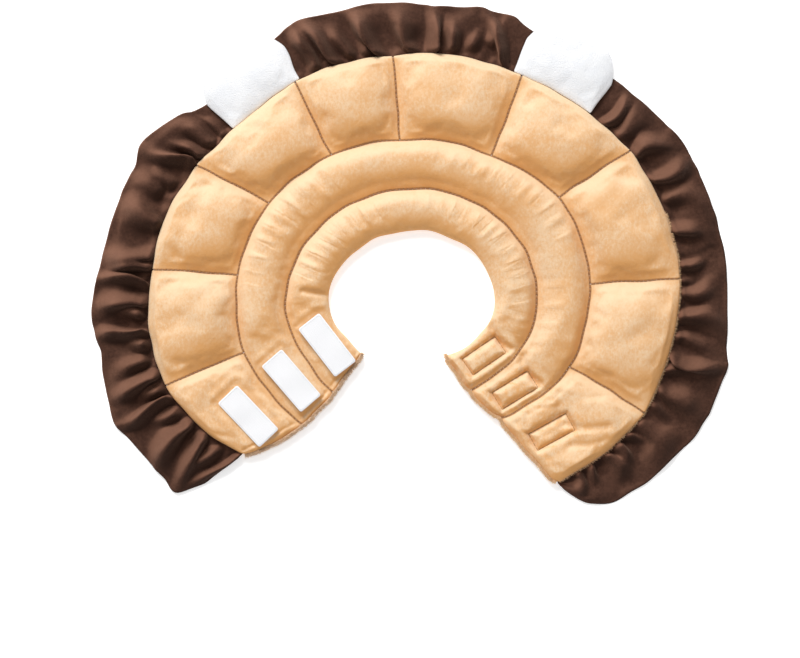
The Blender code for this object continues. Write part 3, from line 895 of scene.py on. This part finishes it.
box_runs = []
for band, middle, turn, length, width in BOXES:
    height_at = surface_of(bpy.data.objects["soft_" + band])
    along = np.array((math.cos(math.radians(turn)), math.sin(math.radians(turn))))
    across = np.array((-along[1], along[0]))
    for side in rectangle(middle, along, across, length * MM / 2.0, width * MM / 2.0):
        box_runs.append(laid(side, height_at, lift=0.1 * MM))
tan_thread = thread("tan_thread", (0.50, 0.27, 0.11), (0.34, 0.17, 0.065))
boxes = stitches("loop_patch_stitching", box_runs, BOX_THREAD_RADIUS, tan_thread)
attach(boxes, "root")


# Loose fibres: at both ends the plush is folded in and overlocked, and its cut pile and the ends
# of the backing stand out of the edge as a short ragged fringe. The pile of the right half also
# stands out of the outer seam, over the ruffle.
HAIR_ROUTE = ((0.0, 0.0, 0.0), (0.55, 0.0, -0.06), (1.0, 0.0, -0.22))
HAIR_RADII, HAIR_THICKNESS = (1.0, 0.75, 0.15), 0.062


def fibres(name, roots, directions, lengths, material):
    """Short bent hairs that taper to a point."""
    hair = strand(name + "_shape", HAIR_ROUTE, HAIR_RADII, HAIR_THICKNESS, 0)
    return copies(name, hair, roots, directions, np.repeat(lengths[:, None], 3, axis=1), material)


def fringe_along(path, outward, count, seed, heights, lengths):
    """Roots, directions and lengths of hairs scattered along a path of the plan."""
    draw = np.random.default_rng(seed)
    steps = np.linalg.norm(np.diff(path, axis=0), axis=1)
    travelled = np.concatenate(([0.0], np.cumsum(steps)))
    place = draw.uniform(0.0, travelled[-1], count)
    spots = [np.interp(place, travelled, line) for line in path.T]
    roots = np.column_stack((*spots, draw.uniform(*heights, count) * MM))
    turn = np.arctan2(outward[1], outward[0]) + draw.normal(0.0, 0.55, count)
    tilt = np.maximum(draw.normal(0.12, 0.30, count), -0.12)
    directions = np.column_stack((np.cos(turn) * np.cos(tilt), np.sin(turn) * np.cos(tilt), np.sin(tilt)))
    roots[:, :2] -= outward * 0.8 * MM
    return roots, directions, draw.uniform(*lengths, count) * MM


def end_path(station):
    """The end's edge as points, from the neck to the outer seam."""
    share = np.linspace(0.0, 1.0, 60)
    degrees = np.interp(share, (0.0, 0.3, 0.6, 1.0), RING_LINES[station, :4])
    radius = np.interp(share, (0.0, 0.3, 0.6, 1.0), RING_LINES[station, 4:])
    path = at(degrees, radius * MM)
    return path + hand_sewn(path)


def outward_of(path, away_from):
    """The direction across a path that points away from a place."""
    along = path[-1] - path[0]
    normal = np.array((-along[1], along[0])) / np.linalg.norm(along)
    return normal if (path.mean(axis=0) - away_from) @ normal > 0.0 else -normal


RIM_PARTS = 12


def rim_fringe(start, end, count, seed, heights, lengths):
    """Hairs that stand out of the outer seam over the ruffle, between two angles."""
    turns = np.linspace(start, end, RIM_PARTS + 1)
    parts = []
    for number, (first, last) in enumerate(zip(turns[:-1], turns[1:])):
        degrees = np.linspace(first, last, 8)
        path = at(degrees, radius_at(OUTER_EDGE, degrees))
        outward = at(degrees.mean(keepdims=True), np.ones(1))[0] - RING_CENTRE
        path = path + hand_sewn(path)
        parts.append(fringe_along(path, outward, count // RIM_PARTS, seed + number, heights, lengths))
    return [np.concatenate(part) for part in zip(*parts)]


left_path, right_path = end_path(0), end_path(-1)
left_out = outward_of(left_path, at(np.array(205.0), np.array(0.12)))
right_out = outward_of(right_path, at(np.array(-35.0), np.array(0.12)))
backing = thread("frayed_backing", (0.84, 0.60, 0.39), (0.50, 0.32, 0.19))
left_hairs = fringe_along(left_path, left_out, 2400, 51, heights=(1.8, 7.4), lengths=(1.8, 4.4))
fray = fibres("left_end_fray", *left_hairs, backing)
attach(fray, "root")
cut_pile = thread("cut_pile", (0.86, 0.60, 0.36), (0.74, 0.45, 0.22))
right_hairs = fringe_along(right_path, right_out, 3200, 52, heights=(1.6, 8.0), lengths=(1.6, 3.6))
pile = fibres("right_end_pile", *right_hairs, cut_pile)
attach(pile, "root")
rim_hairs = rim_fringe(20.0, -50.5, 2400, 60, heights=(4.0, 7.0), lengths=(1.4, 3.0))
rim = fibres("outer_seam_pile", *rim_hairs, cut_pile)
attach(rim, "root")


# Ruffle: one long strip of brown velvet, gathered by hand pleats into the ring's outer seam,
# with a narrow rolled hem. Its folds rise at the seam, spread outwards and lie down at the hem.
# The hem's outline, from left to right: angle at the hem and at the seam, and reach in mm.
HEM = np.array([
    (220.2, 221.2, 35.1), (218.2, 218.6, 53.0), (214.6, 214.2, 49.5), (211.0, 209.0, 47.6),
    (206.0, 204.8, 46.8), (201.9, 200.5, 48.8), (197.6, 196.0, 44.9), (192.6, 192.2, 41.3),
    (188.8, 189.2, 38.2), (185.2, 186.0, 41.7), (180.8, 181.2, 42.5), (175.3, 176.2, 41.0),
    (169.9, 170.0, 38.6), (161.8, 162.7, 37.4), (154.6, 154.6, 37.8), (149.3, 148.0, 43.7),
    (144.8, 144.6, 40.6), (140.6, 140.9, 35.6), (137.2, 137.2, 29.0), (127.0, 127.0, 27.0),
    (117.0, 117.0, 37.0), (112.1, 109.6, 41.7), (106.8, 103.8, 39.0), (102.0, 98.4, 39.8),
    (97.3, 94.0, 40.6), (93.0, 90.2, 39.8), (87.4, 86.0, 36.3), (82.0, 81.4, 36.3),
    (76.4, 73.6, 39.0), (71.0, 69.6, 40.2), (67.4, 66.8, 35.9), (57.0, 57.0, 33.2),
    (48.4, 48.4, 32.4), (44.0, 43.4, 32.4), (39.0, 39.4, 33.5), (32.4, 33.8, 36.7),
    (27.2, 28.4, 37.1), (22.0, 22.6, 35.5), (13.8, 15.8, 35.5), (7.8, 9.0, 36.3),
    (3.2, 3.6, 35.9), (-3.0, -2.4, 39.0), (-7.2, -6.8, 41.7), (-11.2, -10.8, 45.6),
    (-15.0, -14.8, 44.5), (-19.6, -19.2, 44.1), (-24.6, -24.4, 42.5), (-30.4, -29.8, 39.4),
    (-36.2, -35.0, 38.6), (-41.8, -40.2, 36.7), (-45.8, -45.0, 33.5), (-49.0, -49.2, 24.2),
    (-51.1, -51.3, 8.6),
])
# Folds: angle at the seam and at the hem, half width in mm at the seam and at the hem, height in
# mm, where it starts and ends between the seam (0) and the hem (1), and its lean to the left
FOLDS = [
    (220.5, 219.4, 2.0, 4.0, 4.0, 0.00, 1.05, 0.0),
    (211.5, 218.0, 2.4, 5.0, 8.0, 0.00, 1.10, 0.2),
    (215.8, 215.0, 2.6, 6.0, 5.0, 0.05, 0.80, 0.0),
    (207.2, 211.4, 2.4, 6.5, 8.5, 0.00, 1.10, 0.3),
    (204.3, 205.2, 3.6, 6.0, 6.5, 0.05, 0.60, 0.0),
    (201.4, 202.4, 2.0, 4.2, 9.0, 0.00, 1.10, -0.3),
    (198.4, 199.0, 3.4, 6.0, 6.5, 0.05, 0.55, 0.0),
    (195.0, 197.4, 2.2, 6.0, 8.0, 0.00, 1.05, 0.3),
    (191.8, 192.5, 2.6, 7.0, 5.5, 0.10, 0.90, 0.0),
    (188.6, 188.8, 3.6, 6.5, 7.0, 0.04, 0.55, 0.0),
    (186.2, 185.4, 1.9, 4.0, 9.2, 0.00, 1.10, -0.4),
    (182.4, 182.0, 3.8, 6.0, 7.0, 0.05, 0.60, 0.0),
    (179.6, 180.0, 2.2, 6.0, 7.5, 0.00, 1.00, 0.2),
    (176.7, 175.2, 1.7, 3.6, 9.2, 0.00, 1.15, -0.4),
    (174.0, 174.6, 2.4, 3.0, 4.5, 0.05, 0.45, 0.0),
    (171.6, 173.2, 1.9, 5.0, 8.0, 0.00, 0.95, 0.2),
    (168.8, 170.4, 2.4, 8.0, 7.5, 0.00, 1.05, 0.3),
    (162.6, 161.4, 4.4, 11.0, 8.0, 0.00, 1.10, 0.0),
    (157.6, 155.0, 3.0, 9.0, 5.0, 0.25, 1.00, 0.0),
    (152.8, 152.6, 3.4, 7.0, 5.0, 0.10, 0.80, 0.0),
    (147.8, 149.6, 1.9, 4.6, 9.2, 0.00, 1.10, -0.5),
    (144.8, 147.0, 2.2, 5.0, 7.0, 0.00, 0.75, 0.2),
    (141.6, 142.2, 2.4, 7.0, 6.0, 0.05, 1.00, 0.0),
    (138.0, 139.0, 1.8, 4.0, 6.5, 0.00, 0.95, 0.0),
    (112.6, 114.6, 2.6, 5.0, 6.5, 0.00, 1.05, 0.0),
    (107.2, 112.0, 2.2, 5.6, 9.0, 0.00, 1.10, 0.4),
    (103.6, 105.6, 2.8, 7.0, 6.0, 0.05, 0.90, 0.0),
    (96.6, 102.6, 2.4, 6.0, 8.6, 0.00, 1.10, 0.4),
    (100.0, 101.0, 3.0, 5.0, 5.5, 0.05, 0.50, 0.0),
    (89.6, 94.0, 3.0, 8.0, 6.5, 0.00, 1.05, 0.2),
    (85.8, 87.0, 1.7, 4.0, 9.2, 0.00, 1.10, -0.5),
    (81.4, 82.4, 2.6, 6.0, 6.5, 0.05, 0.85, 0.0),
    (77.6, 78.2, 3.0, 6.0, 5.0, 0.10, 0.70, 0.0),
    (68.6, 76.2, 2.4, 6.0, 8.6, 0.00, 1.10, 0.4),
    (72.8, 71.8, 2.6, 6.0, 4.5, 0.30, 1.00, 0.0),
    (43.6, 45.0, 2.6, 5.0, 8.0, 0.00, 1.00, 0.0),
    (39.4, 40.4, 3.4, 9.0, 6.0, 0.00, 1.05, 0.0),
    (34.2, 31.6, 2.6, 9.0, 8.8, 0.00, 0.95, -0.3),
    (28.4, 27.0, 2.2, 7.0, 8.8, 0.00, 1.05, -0.2),
    (22.6, 22.0, 2.6, 8.0, 6.0, 0.05, 1.00, 0.0),
    (16.8, 13.4, 2.6, 5.4, 8.8, 0.00, 0.80, -0.4),
    (8.8, 7.6, 1.9, 5.0, 7.5, 0.00, 0.70, 0.0),
    (5.2, 5.8, 1.6, 3.0, 5.0, 0.00, 0.40, 0.0),
    (3.0, 3.6, 2.0, 7.0, 6.5, 0.00, 1.00, 0.0),
    (-2.4, -3.2, 2.4, 8.0, 8.0, 0.00, 1.10, 0.0),
    (-7.0, -7.6, 2.0, 6.0, 5.5, 0.00, 0.90, 0.0),
    (-10.6, -11.6, 2.0, 4.4, 9.4, 0.00, 1.12, -0.7),
    (-14.6, -14.6, 2.6, 5.6, 6.5, 0.00, 0.60, 0.0),
    (-18.6, -20.8, 2.0, 9.0, 6.5, 0.00, 1.00, -0.2),
    (-22.4, -23.6, 2.0, 5.0, 5.0, 0.00, 0.55, 0.0),
    (-27.4, -28.4, 2.2, 11.0, 4.5, 0.00, 0.95, 0.0),
    (-31.6, -31.0, 1.8, 5.0, 6.0, 0.00, 0.50, 0.3),
    (-34.4, -36.4, 1.7, 7.0, 7.5, 0.00, 0.70, 0.4),
    (-38.0, -40.6, 1.6, 8.0, 6.5, 0.00, 0.85, 0.3),
    (-41.8, -44.6, 1.6, 5.0, 6.5, 0.00, 0.60, 0.2),
    (-45.6, -48.0, 1.8, 6.0, 5.0, 0.00, 0.80, 0.0),
]
# Where it lies flat under an ear: middle and half width in degrees
BEHIND_EARS = [(126.2, 10.4), (57.1, 10.6)]
HEM_COLUMNS = 10
ROWS_OUT = 21
FREE_EDGE_HEIGHT = 0.9 * MM
# The strip stands higher on the left half and lies flatter from this angle on to the right
LEFT_LIFT, RIGHT_LIFT, LIFT_CHANGE = 1.62, 1.22, 60.0
CLOTH_THICKNESS = 1.1 * MM
# How far the row of hem stitches lies from the edge, and its width, in rows of the sheet
HEM_ROW, HEM_ROW_WIDTH = 1.7, 0.5
FOOT_TUCK = 0.3 * MM


def ruffle_sheet():
    """The gathered strip as one layer, its folds raised along their lines."""
    columns = HEM_COLUMNS * (len(HEM) - 1) + 1
    hem = through(HEM, np.linspace(0.0, len(HEM) - 1.0, columns))
    out = np.linspace(0.0, 1.0, ROWS_OUT) ** 1.15
    share, edge = np.meshgrid(out, hem[:, 0])
    seam, reach = np.meshgrid(out, hem[:, 1])[1], np.meshgrid(out, hem[:, 2])[1] * MM
    degrees = seam + (edge - seam) * share
    foot = radius_at(OUTER_EDGE, seam.ravel()).reshape(seam.shape) - FOOT_TUCK
    radius = foot + (radius_at(OUTER_EDGE, edge.ravel()).reshape(seam.shape) + reach - foot) * share
    flat = np.stack((degrees, radius), axis=-1)
    height, push = np.zeros(share.shape), np.zeros(share.shape)
    hidden = np.ones(share.shape)
    for middle, half in BEHIND_EARS:
        hidden *= ease((np.abs(degrees - middle) - half) / 2.5)
    for at_seam, at_hem, narrow, wide, tall, start, end, lean in FOLDS:
        draw = np.random.default_rng(int(1000 + 10 * at_seam))
        bow = draw.uniform(-1.3, 1.3) * np.sin(math.pi * share)
        bow += draw.uniform(-0.5, 0.5) * np.sin(math.tau * share)
        line = at_seam + (at_hem - at_seam) * share + bow
        width = (narrow + (1.25 * wide - narrow) * share) * MM
        aside = np.radians(degrees - line) * radius
        rise = ease((share - start) / 0.16 + 0.15) * ease((end - share) / 0.45)
        rise *= 1.0 - draw.uniform(0.30, 0.75) * ease((share - 0.30) / 0.60)
        lift = LEFT_LIFT if at_seam > LIFT_CHANGE else RIGHT_LIFT
        ridge = lift * tall * MM * rise * bell(aside, width)
        height = np.maximum(height, ridge) + 0.25 * np.minimum(height, ridge)
        push += lean * ridge * bell(aside, 2.0 * width) * (1.0 - 0.8 * share)
    spots = np.stack((degrees.ravel(), radius.ravel()), axis=-1)
    plan = at(spots[:, 0], spots[:, 1])
    gathers = ripple(np.stack((degrees.ravel() * 3.3 * MM, radius.ravel() * 0.12), axis=-1), 5.0 * MM, 21)
    gathers = gathers.reshape(share.shape) * 0.8 * MM * bell(share, 0.42) * ease(share / 0.06)
    swell = ripple(plan, 13.0 * MM, 22).reshape(share.shape) * 1.1 * MM * ease(share / 0.3)
    broad = 1.0 + ripple(plan, 24.0 * MM, 23).reshape(share.shape)
    laid_down = 0.25 + 0.75 * ease((1.0 - share) / 0.25)
    swell += broad * 1.5 * MM * ease((share - 0.25) / 0.4) * laid_down
    base = 2.4 * MM * (1.0 - ease(share / 0.20)) + FREE_EDGE_HEIGHT
    height = base + (height + gathers + swell) * hidden
    height = np.maximum(height, 0.4 * MM)
    degrees = degrees + np.degrees(push * hidden / radius)
    plan = at(degrees.ravel(), radius.ravel())
    return np.column_stack((plan + hand_sewn(plan), height.ravel())), columns


def grid_piece(name, places, columns, rows):
    """A sheet of four-sided faces through a grid of points, facing up."""
    numbers = np.arange(columns * rows).reshape(columns, rows)
    faces = np.stack(
        (numbers[:-1, :-1], numbers[1:, :-1], numbers[1:, 1:], numbers[:-1, 1:]), axis=-1
    ).reshape(-1, 4)
    piece = new_piece(name, places, faces.tolist())
    piece.data.update()
    if np.mean([face.normal.z for face in piece.data.polygons]) < 0.0:
        piece.data.flip_normals()
    return piece


VELVET = (0.044, 0.018, 0.011)
VELVET_LIT = (0.080, 0.035, 0.022)
# Painted light on ruffle slopes that face the key light, and painted shade on slopes that face away.
VELVET_PAINTED_LIGHT = (0.200, 0.094, 0.059)
VELVET_PAINTED_SHADE = (0.026, 0.011, 0.007)
# Points roughly away from the key light: slopes facing this way get painted shade.
VELVET_SHADE_SIDE = (0.70, -0.71, 0.0)
# The hem's stitch row, lighter than the velvet partly as a painted highlight where the rolled hem catches the
# light.
HEM_THREAD_AND_HIGHLIGHT = (0.120, 0.058, 0.036)


def brown_velvet():
    """Velvet with a short pile: painted light on slopes that face the key light and painted shade on slopes
    that face away, in place of the pile's soft bloom, and crushed patches.
    """
    cloth = Cloth("brown_velvet", VELVET, 0.80)
    crushed = cloth.noise(62.0, 5.0, 0.68)
    stroke = cloth.noise(420.0, 4.0, 0.75)
    pile = cloth.noise(1500.0, 3.0, 0.65)
    mottle = crushed * 0.55 + stroke * 0.45
    colour = cloth.mix(cloth.span(mottle, 0.38, 0.62), VELVET, VELVET_LIT)
    unevenness = 0.55 + mottle * 0.9
    # Painted shade on slopes that face away from the key light, and painted light on slopes that face it.
    colour = cloth.mix(cloth.painted_light_by_slope(0.0, 0.60, VELVET_SHADE_SIDE) * unevenness * 0.80, colour, VELVET_PAINTED_SHADE)
    colour = cloth.mix(cloth.painted_light_by_slope(0.0, -0.70, VELVET_SHADE_SIDE) * unevenness * 0.80, colour, VELVET_PAINTED_LIGHT)
    # The hem's stitch row, partly a painted highlight along the rolled hem.
    stitched = cloth.span(cloth.attribute("hem"), 0.55, 0.95)
    cloth.feed("Base Color", cloth.mix(stitched * 0.7, colour, HEM_THREAD_AND_HIGHLIGHT))
    cloth.bump(pile * 0.45 + stroke * 0.55, 0.0011, 0.6)
    cloth.sheen(0.15, 0.5, (1.0, 0.62, 0.45))
    return cloth.material


sheet_places, sheet_columns = ruffle_sheet()
ruffle = grid_piece("soft_ruffle", sheet_places, sheet_columns, ROWS_OUT)
row_number = np.tile(np.arange(ROWS_OUT), sheet_columns)
stuff(ruffle, row_number < 1, pressure=0.0, slack=0.03, frames=12, limit=0.9 * MM, bending=0.15)
keep_values(ruffle, "hem", bell(row_number - ROWS_OUT + HEM_ROW, HEM_ROW_WIDTH))
only(ruffle)
skin = ruffle.modifiers.new("skin", "SOLIDIFY")
skin.thickness = CLOTH_THICKNESS
skin.offset = 0.0
bpy.ops.object.modifier_apply(modifier="skin")
refine(ruffle, 1)
places = points(ruffle)
places[:, 2] = np.maximum(places[:, 2], 0.0)
set_points(ruffle, places)
ruffle.data.shade_smooth()
ruffle.data.materials.append(brown_velvet())
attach(ruffle, "root")
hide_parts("ruffle")


# Ears: two flat padded ears of white short-pile plush, sewn over the ruffle into the outer seam.
def white_plush():
    """Short white pile, a little cooler where it is brushed the other way."""
    cloth = Cloth("white_plush", (0.93, 0.93, 0.94), 0.95)
    brushed = cloth.noise(90.0, 3.0, 0.6)
    pile = cloth.noise(1100.0, 3.0, 0.65)
    colour = cloth.mix(cloth.span(brushed, 0.35, 0.65), (0.84, 0.85, 0.875), (0.88, 0.885, 0.90))
    cloth.feed("Base Color", colour)
    cloth.bump(pile, 0.0012, 0.6)
    cloth.sheen(0.3, 0.5, (1.0, 1.0, 1.0))
    return cloth.material


# Uneven filling as height and size of the hollows in millimetres, and seed
EAR_FILLING = ((0.25, 16.0, 31), (0.06, 5.0, 32))
ear_plush = white_plush()
for node in ("left_ear", "right_ear"):
    ear = soft_copy(node, 2)
    stuff(ear, kept_values(ear, "free") < 0.7, pressure=0.8, slack=0.006, frames=12, limit=0.8 * MM)
    refine(ear, 1)
    places = points(ear)
    free = kept_values(ear, "free")
    places[:, :2] += hand_sewn(places[:, :2])
    for height, size, seed in EAR_FILLING:
        places[:, 2] += free * height * MM * ripple(places, size * MM, seed)
    set_points(ear, places)
    ear.data.shade_smooth()
    ear.data.materials.append(ear_plush)
    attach(ear, "root")
    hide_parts(node)


# Hook patches: three strips of stiff white hook tape sewn flat on top of the left end, each with
# a plain woven selvedge all round, a field of tiny bent hooks, and a lockstitch near its border.
HOOK_PITCH, HOOK_HEIGHT, HOOK_THICKNESS = 1.6 * MM, 0.70 * MM, 0.16 * MM
SELVEDGE = 1.9 * MM
HOOK_ROUTE = ((0.0, 0.0, 0.0), (0.02, 0.0, 0.62), (0.28, 0.0, 0.98), (0.62, 0.0, 0.86), (0.70, 0.0, 0.55))


def hook_tape():
    """A plain woven white tape, read along and across from two attributes."""
    cloth = Cloth("hook_tape", (0.93, 0.93, 0.95), 0.62)
    across = cloth.attribute("weave_across")
    along = cloth.attribute("weave_along")
    threads = across.math("SINE") * along.math("SINE")
    fleck = cloth.noise(900.0, 2.0, 0.6)
    colour = cloth.mix(cloth.span(threads, -0.8, 0.8), (0.93, 0.93, 0.95), (0.98, 0.98, 0.985))
    cloth.feed("Base Color", cloth.mix(fleck * 0.2, colour, (0.86, 0.86, 0.89)))
    cloth.bump(threads * 0.6 + fleck * 0.4, 0.0003, 0.5)
    cloth.sheen(0.35, 0.5, (1.0, 1.0, 1.0))
    return cloth.material


def hook_field(name, tape, height_at, material):
    """Rows of tiny bent hooks, every second row shifted by half a step and turned about."""
    rows = int((tape.half_width - SELVEDGE) * 2.0 / HOOK_PITCH)
    columns = int((tape.half_length - SELVEDGE) * 2.0 / HOOK_PITCH)
    row, step = (grid.ravel() for grid in np.meshgrid(np.arange(rows + 1), np.arange(columns + 1)))
    turned = np.where(row % 2, 1.0, -1.0)
    aside = (row - rows / 2.0) * HOOK_PITCH
    ahead = (step - columns / 2.0 + 0.25 * turned) * HOOK_PITCH
    feet = tape.middle + ahead[:, None] * tape.along + aside[:, None] * tape.across
    feet = laid(feet, height_at, tape.high, -0.05 * MM)
    way = np.column_stack((turned[:, None] * tape.along, np.zeros(len(turned))))
    hook = strand(name + "_shape", HOOK_ROUTE, (1.0,) * len(HOOK_ROUTE), HOOK_THICKNESS / HOOK_HEIGHT, 0)
    return copies(name, hook, feet, way, np.full((len(feet), 3), HOOK_HEIGHT), material)


def tape_copy(node, tape, material):
    """A patch with softened borders that gives a little with the filling under it."""
    piece = bare_copy(node)
    mesh = piece.data
    work = bmesh.new()
    work.from_mesh(mesh)
    bmesh.ops.remove_doubles(work, verts=work.verts[:], dist=1e-6)
    bmesh.ops.dissolve_limit(work, angle_limit=math.radians(1.0), verts=work.verts[:], edges=work.edges[:])
    rims = [edge for edge in work.edges if abs(edge.verts[0].co.z - edge.verts[1].co.z) < 1e-6]
    bmesh.ops.bevel(work, geom=rims, offset=0.3 * MM, segments=2, profile=0.5, affect="EDGES")
    bmesh.ops.triangulate(work, faces=[face for face in work.faces if len(face.verts) > 4])
    for _ in range(4):
        long = [edge for edge in work.edges if edge.calc_length() > 2.4 * MM]
        if not long:
            break
        bmesh.ops.subdivide_edges(work, edges=long, cuts=1, use_grid_fill=True)
        bmesh.ops.triangulate(work, faces=[face for face in work.faces if len(face.verts) > 4])
    work.to_mesh(mesh)
    work.free()
    places = points(piece)
    offset = places[:, :2] - tape.middle
    ahead, aside = offset @ tape.along, offset @ tape.across
    sag = 0.28 * MM * ripple(places, 12.0 * MM, 41)
    places[:, 2] += sag
    set_points(piece, places)
    keep_values(piece, "weave_along", ahead / MM * 9.0)
    keep_values(piece, "weave_across", aside / MM * 9.0)
    mesh.materials.append(material)
    mesh.shade_smooth()
    mesh.set_sharp_from_angle(angle=math.radians(50.0))
    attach(piece, "root")
    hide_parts(node)
    return piece


hook_weave = hook_tape()
hook_plastic = thread("hook_monofilament", (0.96, 0.96, 0.97), (0.90, 0.90, 0.92))
hook_thread = thread("white_thread", (0.88, 0.88, 0.90), (0.70, 0.70, 0.74))
for node, tape in HOOKS.items():
    patch = tape_copy(node, tape, hook_weave)
    height_at = surface_of(patch)
    field = hook_field(node.replace("patch", "field"), tape, height_at, hook_plastic)
    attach(field, "root")
    inset = 1.1 * MM
    sides = rectangle(tape.middle, tape.along, tape.across, tape.half_length - inset, tape.half_width - inset)
    runs = [laid(side, height_at, tape.high, 0.05 * MM) for side in sides]
    sewing = stitches(node.replace("patch", "stitching"), runs, 0.22 * MM, hook_thread)
    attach(sewing, "root")


# Loop patches: three strips of tan brushed loop tape under the right end, sewn through it.
def loop_tape():
    """Brushed tan loops on a flat tape."""
    cloth = Cloth("loop_tape", (0.70, 0.44, 0.23), 0.9)
    loops = cloth.noise(1100.0, 4.0, 0.75)
    brushed = cloth.noise(160.0, 3.0, 0.6)
    colour = cloth.mix(cloth.span(loops, 0.35, 0.65), (0.56, 0.32, 0.14), (0.78, 0.52, 0.29))
    cloth.feed("Base Color", cloth.mix(brushed * 0.4, colour, (0.80, 0.56, 0.34)))
    cloth.bump(loops, 0.0006, 0.8)
    cloth.sheen(0.2, 0.5, (1.0, 0.85, 0.65))
    return cloth.material


brushed_loops = loop_tape()
for node, tape in LOOPS.items():
    patch = tape_copy(node, tape, brushed_loops)
    places = points(patch)
    places[:, 2] = np.maximum(places[:, 2], 0.0)
    set_points(patch, places)
